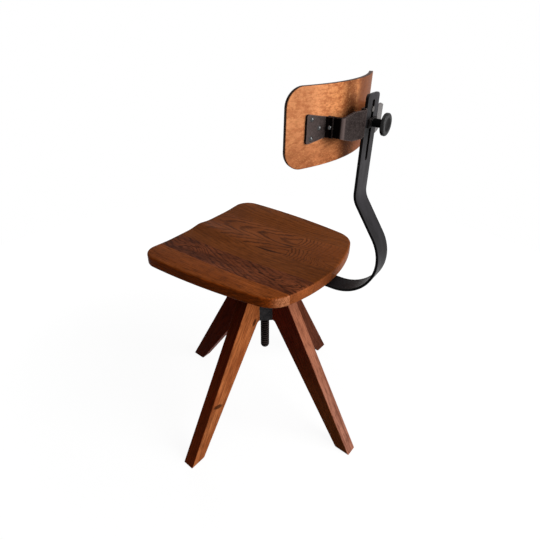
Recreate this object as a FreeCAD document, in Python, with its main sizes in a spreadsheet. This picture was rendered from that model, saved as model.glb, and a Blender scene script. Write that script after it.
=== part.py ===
import FreeCAD, Part
import Sketcher
import math
import os

# Draughtsman chair: four splayed wooden legs on an iron hub, a threaded
# spindle that carries a saddled seat, and a bent flat spring bar that carries
# a curved backrest on a clamped, slotted slide.
# Frame: +Z up, the sitter faces -Y, the sitter's left is +X. The origin lies
# on the floor, on the spindle's axis. Lengths are millimetres, angles degrees.

# Driving dimensions
SIZES = [
    # base
    ("base_turn", -4.5),
    ("hub_flat_reach", 42.0),
    ("hub_height", 115.0),
    ("hub_edge_round", 2.0),
    ("leg_width", 34.0),
    ("leg_shoulder", 6.2),
    ("leg_shoulder_round", 10.0),
    ("leg_top_depth", 29.0),
    ("foot_inner_reach", 278.0),
    ("foot_outer_reach", 322.0),
    ("foot_round", 7.0),
    ("leg_edge_round", 2.2),
    ("leg_bolt_drop", 20.0),
    ("leg_bolt_radius", 5.0),
    ("leg_bolt_bite", 24.0),
    ("leg_bolt_seat_reach", 66.0),
    ("leg_bolt_recess_radius", 11.0),
    ("leg_bolt_head_flats", 17.0),
    ("leg_bolt_head_height", 6.4),
    ("leg_bolt_washer_radius", 10.0),
    ("leg_bolt_washer_thickness", 1.6),
    ("cap_radius", 75.0),
    ("cap_thickness", 5.0),
    ("cap_bore_radius", 13.5),
    ("cap_screw_reach", 56.0),
    ("cap_screw_offset", 10.0),
    ("cap_screw_radius", 2.5),
    ("cap_screw_length", 26.0),
    ("cap_screw_head_radius", 4.6),
    ("cap_screw_head_height", 2.8),
    ("bolt_clearance", 0.1),
    # spindle and its plate
    ("spindle_radius", 12.5),
    ("spindle_length", 305.0),
    ("lowering_room", 49.0),
    ("spindle_tip_round", 11.0),
    ("spindle_tenon_radius", 9.0),
    ("spindle_running_clearance", 0.05),
    ("thread_pitch", 8.0),
    ("thread_depth", 1.9),
    ("thread_groove_mouth", 5.0),
    ("thread_groove_floor", 2.2),
    ("thread_runout", 9.0),
    ("collar_radius", 30.0),
    ("collar_thickness", 8.0),
    ("plate_radius", 75.0),
    ("plate_thickness", 6.0),
    ("plate_screw_reach", 60.0),
    # wood screws under the seat
    ("seat_screw_radius", 2.5),
    ("seat_screw_bite", 15.0),
    ("seat_screw_head_radius", 4.6),
    ("seat_screw_head_height", 2.8),
    # seat
    ("seat_height", 548.0),
    ("seat_thickness", 28.0),
    ("seat_front_reach", 233.0),
    ("seat_rear_reach", 200.0),
    ("seat_front_half_width", 210.0),
    ("seat_rear_half_width", 182.0),
    ("seat_rear_corner_reach", 156.0),
    ("seat_side_bow_radius", 1600.0),
    ("seat_front_corner_radius", 47.0),
    ("seat_rear_corner_radius", 68.0),
    ("seat_top_round", 5.0),
    ("seat_bottom_round", 4.0),
    ("stave_joint_1", 145.0),
    ("stave_joint_2", 73.0),
    ("stave_joint_3", 8.0),
    ("stave_joint_4", -109.0),
    ("saddle_depth", 8.0),
    ("pommel_width", 24.0),
    # spring bar
    ("bar_width", 50.0),
    ("bar_thickness", 6.0),
    ("bar_edge_round", 0.8),
    ("bar_tail_reach", 86.0),
    ("sweep_reach", 212.0),
    ("sweep_radius", 97.0),
    ("rise_angle", 34.0),
    ("bend_radius", 45.0),
    ("bar_lean", 1.0),
    ("post_reach", 244.5),
    ("post_reference_height", 893.0),
    ("post_top", 944.5),
    ("post_corner_round", 8.0),
    ("slot_width", 10.6),
    ("slot_bottom", 819.5),
    ("slot_top", 934.0),
    ("bar_screw_front_reach", 108.0),
    ("bar_screw_rear_reach", 160.0),
    ("bar_screw_offset", 14.0),
    ("bar_screw_radius", 3.5),
    ("bar_screw_bite", 16.0),
    ("bar_screw_head_flats", 11.0),
    ("bar_screw_head_height", 4.5),
    ("bar_washer_radius", 8.5),
    ("bar_washer_thickness", 1.4),
    # backrest
    ("panel_gap", 33.0),
    ("panel_bend_radius", 354.0),
    ("panel_thickness", 9.0),
    ("panel_half_width", 167.3),
    ("panel_height", 141.0),
    ("panel_corner_radius", 34.0),
    ("panel_edge_round", 1.6),
    ("slide_clearance", 0.1),
    ("strap_thickness", 4.0),
    ("strap_recess_clearance", 0.3),
    ("strap_shoulder_reach", 88.0),
    ("strap_shoulder_drop", 14.0),
    ("strap_bend_round", 9.0),
    ("strap_centre_half_height", 28.0),
    ("strap_main_half_height", 25.5),
    ("strap_waist_half_height", 17.5),
    ("strap_taper_reach", 58.0),
    ("wing_outer_reach", 132.5),
    ("wing_outer_half_height", 26.0),
    ("wing_corner_round", 4.0),
    ("wing_upstand", 13.0),
    ("wing_screw_reach", 123.0),
    ("wing_screw_spread", 16.5),
    ("wing_inner_screw_reach", 106.0),
    ("wing_screw_radius", 1.8),
    ("wing_screw_bite", 7.0),
    ("wing_screw_head_radius", 4.4),
    ("wing_screw_head_height", 2.6),
    ("rivet_radius", 2.5),
    ("rivet_head_radius", 4.2),
    ("rivet_head_height", 2.8),
    # clamp
    ("clamp_bolt_radius", 5.0),
    ("clamp_bolt_head_radius", 10.0),
    ("clamp_bolt_head_height", 5.0),
    ("clamp_bolt_end_gap", 2.0),
    ("guide_pin_radius", 4.8),
    ("guide_pin_rise", 23.5),
    ("guide_pin_stand", 1.2),
    ("guide_pin_head_radius", 7.0),
    ("guide_pin_head_height", 3.0),
    ("clamp_washer_width", 34.0),
    ("clamp_washer_height", 16.0),
    ("clamp_washer_thickness", 4.0),
    ("knob_shank_radius", 7.8),
    ("knob_shank_length", 21.0),
    ("knob_disc_radius", 20.8),
    ("knob_disc_thickness", 8.0),
    ("knob_disc_round", 2.6),
    ("knob_dish_radius", 15.5),
    ("knob_dish_depth", 1.6),
    ("cut_overrun", 5.0),
]

SAME_PLACE = 1e-4
LEAST_CUT = 1e-3
HUB_SIDES = 8
PLATE_SCREW_ANGLES = [0, 60, 120, 180, 240, 300]
LEGS = [("leg_left", 0), ("leg_rear", 90), ("leg_right", 180), ("leg_front", 270)]

doc = FreeCAD.newDocument("draughtsman_chair")
sheet = doc.addObject("Spreadsheet::Sheet", "Sheet")
for row, (alias, value) in enumerate(SIZES, start=1):
    sheet.set("A%d" % row, alias)
    sheet.set("B%d" % row, str(value))
    sheet.setAlias("B%d" % row, alias)
doc.recompute()

PIECES = []


def size(formula):
    """The value, in millimetres or degrees, of a formula in the sheet's names."""
    return float(sheet.evalExpression(bound(formula)))


def bound(formula):
    """The formula with every sheet name written as Sheet.name."""
    words = []
    word = ""
    for mark in str(formula) + " ":
        if mark.isalnum() or mark == "_" or (mark == "." and word and not word[0].isalpha()):
            word += mark
            continue
        words.append("Sheet." + word if word in ALIASES else word)
        words.append(mark)
        word = ""
    return "".join(words).strip()


ALIASES = {alias for alias, _ in SIZES}


def body(name):
    piece = doc.addObject("PartDesign::Body", name)
    piece.Label = name
    return piece


def plane(piece, role):
    return next(part for part in piece.Origin.OriginFeatures if part.Role == role)


def sketch(piece, name, role, raised=None):
    """A sketch on one of the body's own origin planes, raised along its normal."""
    drawing = piece.newObject("Sketcher::SketchObject", name)
    drawing.AttachmentSupport = [(plane(piece, role), "")]
    drawing.MapMode = "FlatFace"
    if raised is not None:
        drawing.setExpression("AttachmentOffset.Base.z", bound(raised))
    doc.recompute()
    return drawing


def pin_point(drawing, geometry, place, x, y, label):
    """Ties a point of the sketch to two formulas, counted from the origin."""
    for axis, formula in (("X", x), ("Y", y)):
        index = drawing.addConstraint(
            Sketcher.Constraint("Distance" + axis, -1, 1, geometry, place, size(formula))
        )
        drawing.renameConstraint(index, label + axis.lower())
        drawing.setExpression("Constraints." + label + axis.lower(), bound(formula))


def draw_loop(drawing, corners, mark="p"):
    """Draws a closed loop. A corner is (x, y) or (x, y, radius, turn): the side
    that leaves it is then an arc of that radius, +1 turning left, -1 right."""
    count = len(corners)
    places = [FreeCAD.Vector(size(c[0]), size(c[1]), 0) for c in corners]
    base = drawing.GeometryCount
    starts = []
    for number, corner in enumerate(corners):
        a = places[number]
        b = places[(number + 1) % count]
        if len(corner) == 2:
            drawing.addGeometry(Part.LineSegment(a, b), False)
            starts.append((1, 2))
            continue
        radius, turn = size(corner[2]), corner[3]
        half = (b - a).Length / 2
        left = FreeCAD.Vector(-(b - a).y, (b - a).x, 0).normalize()
        centre = (a + b) / 2 + left * (turn * math.sqrt(max(radius ** 2 - half ** 2, 0)))
        angles = [math.atan2(q.y - centre.y, q.x - centre.x) for q in (a, b)]
        first, last = angles if turn > 0 else angles[::-1]
        circle = Part.Circle(centre, FreeCAD.Vector(0, 0, 1), radius)
        drawing.addGeometry(Part.ArcOfCircle(circle, first, last), False)
        starts.append((1, 2) if turn > 0 else (2, 1))
    for number, corner in enumerate(corners):
        following = (number + 1) % count
        drawing.addConstraint(
            Sketcher.Constraint(
                "Coincident", base + number, starts[number][1], base + following, starts[following][0]
            )
        )
    for number, corner in enumerate(corners):
        label = "%s%d" % (mark, number)
        pin_point(drawing, base + number, starts[number][0], corner[0], corner[1], label)
        if len(corner) > 2:
            index = drawing.addConstraint(Sketcher.Constraint("Radius", base + number, size(corner[2])))
            drawing.renameConstraint(index, label + "r")
            drawing.setExpression("Constraints." + label + "r", bound(corner[2]))


def draw_circle(drawing, x, y, radius, mark="c"):
    centre = FreeCAD.Vector(size(x), size(y), 0)
    index = drawing.addGeometry(Part.Circle(centre, FreeCAD.Vector(0, 0, 1), size(radius)), False)
    pin_point(drawing, index, 3, x, y, mark)
    number = drawing.addConstraint(Sketcher.Constraint("Radius", index, size(radius)))
    drawing.renameConstraint(number, mark + "r")
    drawing.setExpression("Constraints." + mark + "r", bound(radius))


def pad(piece, drawing, length, symmetric=False):
    feature = piece.newObject("PartDesign::Pad", drawing.Name + "_pad")
    feature.Profile = drawing
    feature.setExpression("Length", bound(length))
    feature.SideType = "Symmetric" if symmetric else "One side"
    doc.recompute()
    return feature


def pocket_all(piece, drawing):
    """Cuts the sketch through the whole body, both ways."""
    before = piece.Shape.Volume
    feature = piece.newObject("PartDesign::Pocket", drawing.Name + "_pocket")
    feature.Profile = drawing
    feature.Type = "ThroughAll"
    feature.SideType = "Symmetric"
    doc.recompute()
    check_changed(piece, before)
    return feature


def bore(piece, name, radius, height, place, direction):
    """Takes a cylinder out of a body, from place along direction."""
    before = piece.Shape.Volume
    feature = piece.newObject("PartDesign::SubtractiveCylinder", name)
    feature.setExpression("Radius", bound(radius))
    feature.setExpression("Height", bound(height))
    turn = FreeCAD.Rotation(FreeCAD.Vector(0, 0, 1), FreeCAD.Vector(*direction))
    feature.Placement = FreeCAD.Placement(FreeCAD.Vector(0, 0, 0), turn)
    for axis, formula in zip("xyz", place):
        feature.setExpression("Placement.Base." + axis, bound(formula))
    doc.recompute()
    check_changed(piece, before)
    return feature


def check_changed(piece, before):
    if abs(piece.Shape.Volume - before) < LEAST_CUT:
        raise RuntimeError(piece.Label + ": a cut removed nothing")


def round_edges(piece, radius, chosen, name):
    """Rounds the edges of the body's tip that chosen(edge) picks."""
    tip = piece.Tip
    names = ["Edge%d" % (i + 1) for i, edge in enumerate(tip.Shape.Edges) if chosen(edge)]
    if not names:
        raise RuntimeError(piece.Label + ": no edge found to round")
    feature = piece.newObject("PartDesign::Fillet", name)
    feature.Base = (tip, names)
    feature.setExpression("Radius", bound(radius))
    doc.recompute()
    return feature


def near(a, b, slack=SAME_PLACE):
    return abs(a - b) < slack


def ends(edge):
    return [vertex.Point for vertex in edge.Vertexes]


def keep(piece, node=None):
    if node:
        piece.Label = node
    PIECES.append(piece)
    return piece


def solid_feature(name, shape, placement=None):
    """A node whose shape is computed from the sheet with Part's functions."""
    piece = doc.addObject("Part::Feature", name)
    piece.Label = name
    piece.Shape = shape
    if placement is not None:
        piece.Placement = placement
    return keep(piece)


def cylinder(radius, length, place, direction):
    return Part.makeCylinder(size(radius), size(length), vector(*place), FreeCAD.Vector(*direction))


def vector(x, y, z):
    return FreeCAD.Vector(size(x), size(y), size(z))


def hexagon(flats, height, place, direction):
    """A hexagonal head: a prism of the given distance across its flats."""
    reach = size(flats) / 2 / math.cos(math.pi / 6)
    ring = [
        FreeCAD.Vector(reach * math.cos(math.pi / 3 * k), reach * math.sin(math.pi / 3 * k), 0)
        for k in range(7)
    ]
    prism = Part.Face(Part.makePolygon(ring)).extrude(FreeCAD.Vector(0, 0, size(height)))
    turn = FreeCAD.Rotation(FreeCAD.Vector(0, 0, 1), FreeCAD.Vector(*direction))
    prism.Placement = FreeCAD.Placement(vector(*place), turn)
    return prism


def dome(radius, height, place, direction):
    """A round head: the cap of a sphere of the given rim radius and height."""
    rim, rise = size(radius), size(height)
    ball = (rim ** 2 + rise ** 2) / (2 * rise)
    across = FreeCAD.Vector(0, 0, 1)
    sphere = Part.makeSphere(ball, FreeCAD.Vector(0, 0, rise - ball))
    block = Part.makeCylinder(rim + rise, rise + rim, FreeCAD.Vector(0, 0, 0), across)
    cap = sphere.common(block)
    turn = FreeCAD.Rotation(across, FreeCAD.Vector(*direction))
    cap.Placement = FreeCAD.Placement(vector(*place), turn)
    return cap


def about_axis(angle):
    """A turn about the spindle's axis."""
    return FreeCAD.Placement(
        FreeCAD.Vector(0, 0, 0), FreeCAD.Rotation(FreeCAD.Vector(0, 0, 1), angle)
    )


def placed(shape, placement):
    copy = shape.copy()
    copy.Placement = placement.multiply(shape.Placement)
    return copy


def leg_turns():
    return [size("base_turn") + quarter for _, quarter in LEGS]


# Heights, worked down from the seat: its plate, the collar, the room to wind
# the seat down, the cap on the legs, the hub
SEAT_BOTTOM = "(seat_height - seat_thickness)"
PLATE_BOTTOM = "(%s - plate_thickness)" % SEAT_BOTTOM
HUB_TOP = "(%s - collar_thickness - lowering_room - cap_thickness)" % PLATE_BOTTOM
HUB_BOTTOM = "(%s - hub_height)" % HUB_TOP
LEG_BOLT_HEIGHT = "(%s - leg_bolt_drop)" % HUB_TOP
SPINDLE_BOTTOM = "(%s - spindle_length)" % PLATE_BOTTOM

# The legs: straight timbers that taper to the foot and bear on the hub's flats
LEG_TOP_REACH = "hub_flat_reach + leg_top_depth"
SHOULDER_REACH = "hub_flat_reach + leg_shoulder"


def make_leg(name, turn):
    leg = body(name)
    side = sketch(leg, name + "_side", "XZ_Plane")
    draw_loop(
        side,
        [
            ("hub_flat_reach", HUB_BOTTOM),
            (SHOULDER_REACH, HUB_BOTTOM),
            ("foot_inner_reach", "0"),
            ("foot_outer_reach", "0"),
            (LEG_TOP_REACH, HUB_TOP),
            ("hub_flat_reach", HUB_TOP),
        ],
    )
    pad(leg, side, "leg_width", symmetric=True)

    def crosses(edge, reach, height):
        points = ends(edge)
        return all(near(q.x, size(reach)) and near(q.z, size(height)) for q in points)

    round_edges(
        leg, "leg_shoulder_round", lambda e: crosses(e, SHOULDER_REACH, HUB_BOTTOM), name + "_shoulder"
    )
    round_edges(leg, "foot_round", lambda e: crosses(e, "foot_inner_reach", "0"), name + "_foot")

    def runs_down(edge):
        points = ends(edge)
        if len(points) < 2:
            return False
        sloped = abs(points[0].z - points[1].z) > size("leg_width")
        side_edge = all(near(abs(q.y), size("leg_width") / 2) for q in points)
        leaning = abs(points[0].x - points[1].x) > size("leg_width")
        return sloped and side_edge and leaning

    round_edges(leg, "leg_edge_round", runs_down, name + "_edges")
    bore(
        leg,
        name + "_bolt_hole",
        "leg_bolt_radius + bolt_clearance",
        "leg_bolt_seat_reach",
        ("0", "0", LEG_BOLT_HEIGHT),
        (1, 0, 0),
    )
    bore(
        leg,
        name + "_bolt_recess",
        "leg_bolt_recess_radius",
        "foot_outer_reach - leg_bolt_seat_reach",
        ("leg_bolt_seat_reach", "0", LEG_BOLT_HEIGHT),
        (1, 0, 0),
    )
    for side_name, sign in (("a", "-"), ("b", "")):
        bore(
            leg,
            name + "_screw_hole_" + side_name,
            "cap_screw_radius",
            "cap_screw_length - cap_thickness",
            ("cap_screw_reach", sign + "cap_screw_offset", "%s - cap_screw_length + cap_thickness" % HUB_TOP),
            (0, 0, 1),
        )
    leg.Placement = about_axis(turn)
    return keep(leg)


for (leg_name, _), leg_turn in zip(LEGS, leg_turns()):
    make_leg(leg_name, leg_turn)


# The hub: an eight-sided iron block, bored for the spindle
def make_hub():
    hub = body("hub")
    outline = sketch(hub, "hub_outline", "XY_Plane", HUB_BOTTOM)
    half_side = 180 / HUB_SIDES
    corner = "(hub_flat_reach / cos(%s))" % half_side
    angles = [half_side * (2 * side + 1) for side in range(HUB_SIDES)]
    draw_loop(
        outline,
        [("%s * cos(%s)" % (corner, angle), "%s * sin(%s)" % (corner, angle)) for angle in angles],
    )
    pad(hub, outline, "hub_height")

    def at_bottom(edge):
        return all(near(q.z, size(HUB_BOTTOM)) for q in ends(edge))

    round_edges(hub, "hub_edge_round", at_bottom, "hub_bottom_round")
    bore(
        hub,
        "hub_bore",
        "spindle_radius + spindle_running_clearance",
        "hub_height",
        ("0", "0", HUB_BOTTOM),
        (0, 0, 1),
    )
    depth = "hub_flat_reach - leg_bolt_bite"
    for side_name, way, x, y in (
        ("left", (1, 0, 0), depth, "0"),
        ("rear", (0, 1, 0), "0", depth),
        ("right", (-1, 0, 0), "-(%s)" % depth, "0"),
        ("front", (0, -1, 0), "0", "-(%s)" % depth),
    ):
        bore(
            hub,
            "hub_bolt_hole_" + side_name,
            "leg_bolt_radius + bolt_clearance",
            "leg_bolt_bite",
            (x, y, LEG_BOLT_HEIGHT),
            way,
        )
    hub.Placement = about_axis(size("base_turn"))
    return keep(hub)


make_hub()


# Leg bolts and their washers, sunk in the legs
def make_leg_bolts():
    head_base = "leg_bolt_seat_reach + leg_bolt_washer_thickness"
    shank = cylinder(
        "leg_bolt_radius",
        head_base + " - hub_flat_reach + leg_bolt_bite",
        ("hub_flat_reach - leg_bolt_bite", "0", LEG_BOLT_HEIGHT),
        (1, 0, 0),
    )
    head = hexagon(
        "leg_bolt_head_flats", "leg_bolt_head_height", (head_base, "0", LEG_BOLT_HEIGHT), (1, 0, 0)
    )
    bolt = shank.fuse(head).removeSplitter()
    washer = cylinder(
        "leg_bolt_washer_radius",
        "leg_bolt_washer_thickness",
        ("leg_bolt_seat_reach", "0", LEG_BOLT_HEIGHT),
        (1, 0, 0),
    )
    hole = cylinder(
        "leg_bolt_radius + bolt_clearance",
        "leg_bolt_washer_thickness",
        ("leg_bolt_seat_reach", "0", LEG_BOLT_HEIGHT),
        (1, 0, 0),
    )
    washer = washer.cut(hole)
    turns = [about_axis(turn) for turn in leg_turns()]
    solid_feature("leg_bolts", Part.makeCompound([placed(bolt, turn) for turn in turns]))
    solid_feature("leg_bolt_washers", Part.makeCompound([placed(washer, turn) for turn in turns]))


make_leg_bolts()


# The cap plate that ties the legs' tops to the hub
def make_cap():
    cap = body("hub_cap")
    disc = sketch(cap, "cap_disc", "XY_Plane", HUB_TOP)
    draw_circle(disc, "0", "0", "cap_radius", "rim")
    draw_circle(disc, "0", "0", "cap_bore_radius", "bore")
    pad(cap, disc, "cap_thickness")
    holes = sketch(cap, "cap_holes", "XY_Plane", HUB_TOP)
    draw_circle(holes, "cap_screw_reach", "cap_screw_offset", "cap_screw_radius", "a")
    draw_circle(holes, "cap_screw_reach", "-cap_screw_offset", "cap_screw_radius", "b")
    cut = pocket_all(cap, holes)
    ring = cap.newObject("PartDesign::PolarPattern", "cap_hole_ring")
    ring.Originals = [cut]
    ring.Axis = (plane(cap, "Z_Axis"), [""])
    ring.Occurrences = len(LEGS)
    cap.Tip = ring
    doc.recompute()
    cap.Placement = about_axis(size("base_turn"))
    keep(cap)
    screws = []
    for turn in leg_turns():
        for side in ("cap_screw_offset", "-cap_screw_offset"):
            top = "%s + cap_thickness" % HUB_TOP
            shank = cylinder(
                "cap_screw_radius",
                "cap_screw_length",
                ("cap_screw_reach", side, top + " - cap_screw_length"),
                (0, 0, 1),
            )
            head = dome(
                "cap_screw_head_radius", "cap_screw_head_height", ("cap_screw_reach", side, top), (0, 0, 1)
            )
            screws.append(placed(shank.fuse(head), about_axis(turn)))
    solid_feature("hub_cap_screws", Part.makeCompound(screws))


make_cap()


# The spindle: a coarse threaded rod with a rounded end, riveted in its plate. Rings at
# the pitch stand for the thread
def make_spindle():
    spindle = body("spindle")
    half = sketch(spindle, "spindle_half", "XZ_Plane")
    draw_loop(
        half,
        [
            ("0", SPINDLE_BOTTOM),
            ("spindle_radius", SPINDLE_BOTTOM),
            ("spindle_radius", PLATE_BOTTOM),
            ("spindle_tenon_radius", PLATE_BOTTOM),
            ("spindle_tenon_radius", SEAT_BOTTOM),
            ("0", SEAT_BOTTOM),
        ],
    )
    turned = spindle.newObject("PartDesign::Revolution", "spindle_turned")
    turned.Profile = half
    turned.ReferenceAxis = (half, ["V_Axis"])
    turned.Angle = 360
    doc.recompute()

    def tip_rim(edge):
        return edge.Closed and near(edge.Vertexes[0].Point.z, size(SPINDLE_BOTTOM))

    round_edges(spindle, "spindle_tip_round", tip_rim, "spindle_tip")
    groove = sketch(spindle, "thread_groove", "XZ_Plane")
    start = "%s + thread_groove_mouth" % SPINDLE_BOTTOM
    widening = "(thread_groove_mouth - thread_groove_floor) / 2 / thread_depth * cut_overrun"
    draw_loop(
        groove,
        [
            ("spindle_radius - thread_depth", start + " - thread_groove_floor / 2"),
            ("spindle_radius + cut_overrun", start + " - thread_groove_mouth / 2 - " + widening),
            ("spindle_radius + cut_overrun", start + " + thread_groove_mouth / 2 + " + widening),
            ("spindle_radius - thread_depth", start + " + thread_groove_floor / 2"),
        ],
    )
    before = spindle.Shape.Volume
    ring = spindle.newObject("PartDesign::Groove", "thread_ring")
    ring.Profile = groove
    ring.ReferenceAxis = (groove, ["V_Axis"])
    ring.Angle = 360
    turns = int(size("(spindle_length - thread_groove_mouth - thread_runout) / thread_pitch"))
    rings = spindle.newObject("PartDesign::LinearPattern", "thread_rings")
    rings.Originals = [ring]
    rings.Direction = (groove, ["V_Axis"])
    rings.Occurrences = turns + 1
    rings.setExpression("Length", bound("thread_pitch * %d" % turns))
    spindle.Tip = rings
    doc.recompute()
    check_changed(spindle, before)
    return keep(spindle)


make_spindle()


def make_collar():
    collar = body("spindle_collar")
    gap = "spindle_running_clearance"
    ring = sketch(collar, "collar_ring", "XY_Plane", PLATE_BOTTOM + " - collar_thickness - " + gap)
    draw_circle(ring, "0", "0", "collar_radius", "rim")
    draw_circle(ring, "0", "0", "spindle_radius + spindle_running_clearance", "bore")
    pad(collar, ring, "collar_thickness")
    return keep(collar)


make_collar()


def plate_screw_places():
    reach = size("plate_screw_reach")
    return [
        (reach * math.cos(math.radians(a)), reach * math.sin(math.radians(a)))
        for a in PLATE_SCREW_ANGLES
    ]


def make_seat_plate():
    plate = body("seat_plate")
    disc = sketch(plate, "plate_disc", "XY_Plane", PLATE_BOTTOM)
    draw_circle(disc, "0", "0", "plate_radius", "rim")
    draw_circle(disc, "0", "0", "spindle_tenon_radius", "bore")
    pad(plate, disc, "plate_thickness")
    hole = sketch(plate, "plate_hole", "XY_Plane", PLATE_BOTTOM)
    draw_circle(hole, "plate_screw_reach", "0", "seat_screw_radius", "a")
    cut = pocket_all(plate, hole)
    ring = plate.newObject("PartDesign::PolarPattern", "plate_hole_ring")
    ring.Originals = [cut]
    ring.Axis = (plane(plate, "Z_Axis"), [""])
    ring.Occurrences = len(PLATE_SCREW_ANGLES)
    plate.Tip = ring
    doc.recompute()
    keep(plate)
    screws = []
    for x, y in plate_screw_places():
        shank = Part.makeCylinder(
            size("seat_screw_radius"),
            size("plate_thickness + seat_screw_bite"),
            FreeCAD.Vector(x, y, size(PLATE_BOTTOM)),
        )
        head = dome("seat_screw_head_radius", "seat_screw_head_height", ("0", "0", PLATE_BOTTOM), (0, 0, -1))
        head.translate(FreeCAD.Vector(x, y, 0))
        screws.append(shank.fuse(head))
    solid_feature("seat_plate_screws", Part.makeCompound(screws))


make_seat_plate()


# The seat: edge-glued staves with a saddled top, rounded rims and blind holes
SIDE_START_SHARE = 0.5
SIDE_RUN_SHARE = 0.44
FRONT_DROP_SHARE = 0.58
SWELL_SHARE = 0.4
FADE_START_SHARE = 0.5
FADE_RUN_SHARE = 0.46
POMMEL_RUN_SHARE = 0.75
POMMEL_SPREAD_SHARE = 2.0
SADDLE_COLUMNS = 25
SADDLE_ROWS = 17


def smooth(share):
    held = min(max(share, 0), 1)
    return held * held * (3 - 2 * held)


def saddle_drop(x, y):
    """How far the saddle's surface lies below the rim's level at (x, y)."""
    along = (y + size("seat_front_reach")) / size("seat_front_reach + seat_rear_reach")
    across = abs(x) / size("seat_front_half_width")
    side = 1 - smooth((across - SIDE_START_SHARE) / SIDE_RUN_SHARE)
    swell = FRONT_DROP_SHARE + (1 - FRONT_DROP_SHARE) * smooth(along / SWELL_SHARE)
    fade = 1 - smooth((along - FADE_START_SHARE) / FADE_RUN_SHARE)
    width = size("pommel_width") * (1 + POMMEL_SPREAD_SHARE * along)
    pommel = (1 - smooth(along / POMMEL_RUN_SHARE)) * math.exp(-((x / width) ** 2))
    return size("saddle_depth") * side * swell * fade * (1 - pommel)


def saddle_tool():
    """The block above the saddle's surface, which is fitted through a grid of points."""
    margin = size("cut_overrun")
    half = size("seat_front_half_width") + margin
    front, rear = -size("seat_front_reach"), size("seat_rear_reach")
    grid = []
    for column in range(SADDLE_COLUMNS):
        x = half * (2 * column / (SADDLE_COLUMNS - 1) - 1)
        line = []
        for row in range(SADDLE_ROWS):
            y = front - margin + (rear - front + 2 * margin) * row / (SADDLE_ROWS - 1)
            drop = saddle_drop(x, min(max(y, front), rear))
            line.append(FreeCAD.Vector(x, y, size("seat_height") - drop))
        grid.append(line)
    surface = Part.BSplineSurface()
    surface.interpolate(grid)
    height = size("saddle_depth + 2 * cut_overrun")
    return surface.toShape().extrude(FreeCAD.Vector(0, 0, height))


def make_seat_blank():
    blank = body("seat_blank")
    outline = sketch(blank, "seat_outline", "XY_Plane", SEAT_BOTTOM)
    bow = "(seat_rear_reach - seat_rear_corner_reach)"
    rear_bow_radius = "(seat_rear_half_width ^ 2 + %s ^ 2) / (2 * %s)" % (bow, bow)
    draw_loop(
        outline,
        [
            ("-seat_front_half_width", "-seat_front_reach"),
            ("seat_front_half_width", "-seat_front_reach", "seat_side_bow_radius", 1),
            ("seat_rear_half_width", "seat_rear_corner_reach", rear_bow_radius, 1),
            ("-seat_rear_half_width", "seat_rear_corner_reach", "seat_side_bow_radius", 1),
        ],
    )
    pad(blank, outline, "seat_thickness + cut_overrun")

    def upright_at(reach):
        def chosen(edge):
            points = ends(edge)
            upright = len(points) == 2 and not near(points[0].z, points[1].z)
            return upright and near(points[0].y, size(reach))

        return chosen

    def level_at(height):
        return lambda edge: all(near(q.z, size(height)) for q in ends(edge))

    round_edges(
        blank, "seat_front_corner_radius", upright_at("-seat_front_reach"), "seat_front_corners"
    )
    round_edges(
        blank, "seat_rear_corner_radius", upright_at("seat_rear_corner_reach"), "seat_rear_corners"
    )
    round_edges(blank, "seat_bottom_round", level_at(SEAT_BOTTOM), "seat_bottom_rim")
    return blank


BAR_SCREW_PLACES = [
    ("bar_screw_offset", "bar_screw_front_reach"),
    ("-bar_screw_offset", "bar_screw_front_reach"),
    ("bar_screw_offset", "bar_screw_rear_reach"),
    ("-bar_screw_offset", "bar_screw_rear_reach"),
]


def seat_hole(name, radius, depth, x, y):
    hole = doc.addObject("Part::Cylinder", name)
    hole.setExpression("Radius", bound(radius))
    hole.setExpression("Height", bound(depth))
    for axis, formula in (("x", x), ("y", y), ("z", SEAT_BOTTOM)):
        hole.setExpression("Placement.Base." + axis, bound(formula))
    return hole


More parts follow.
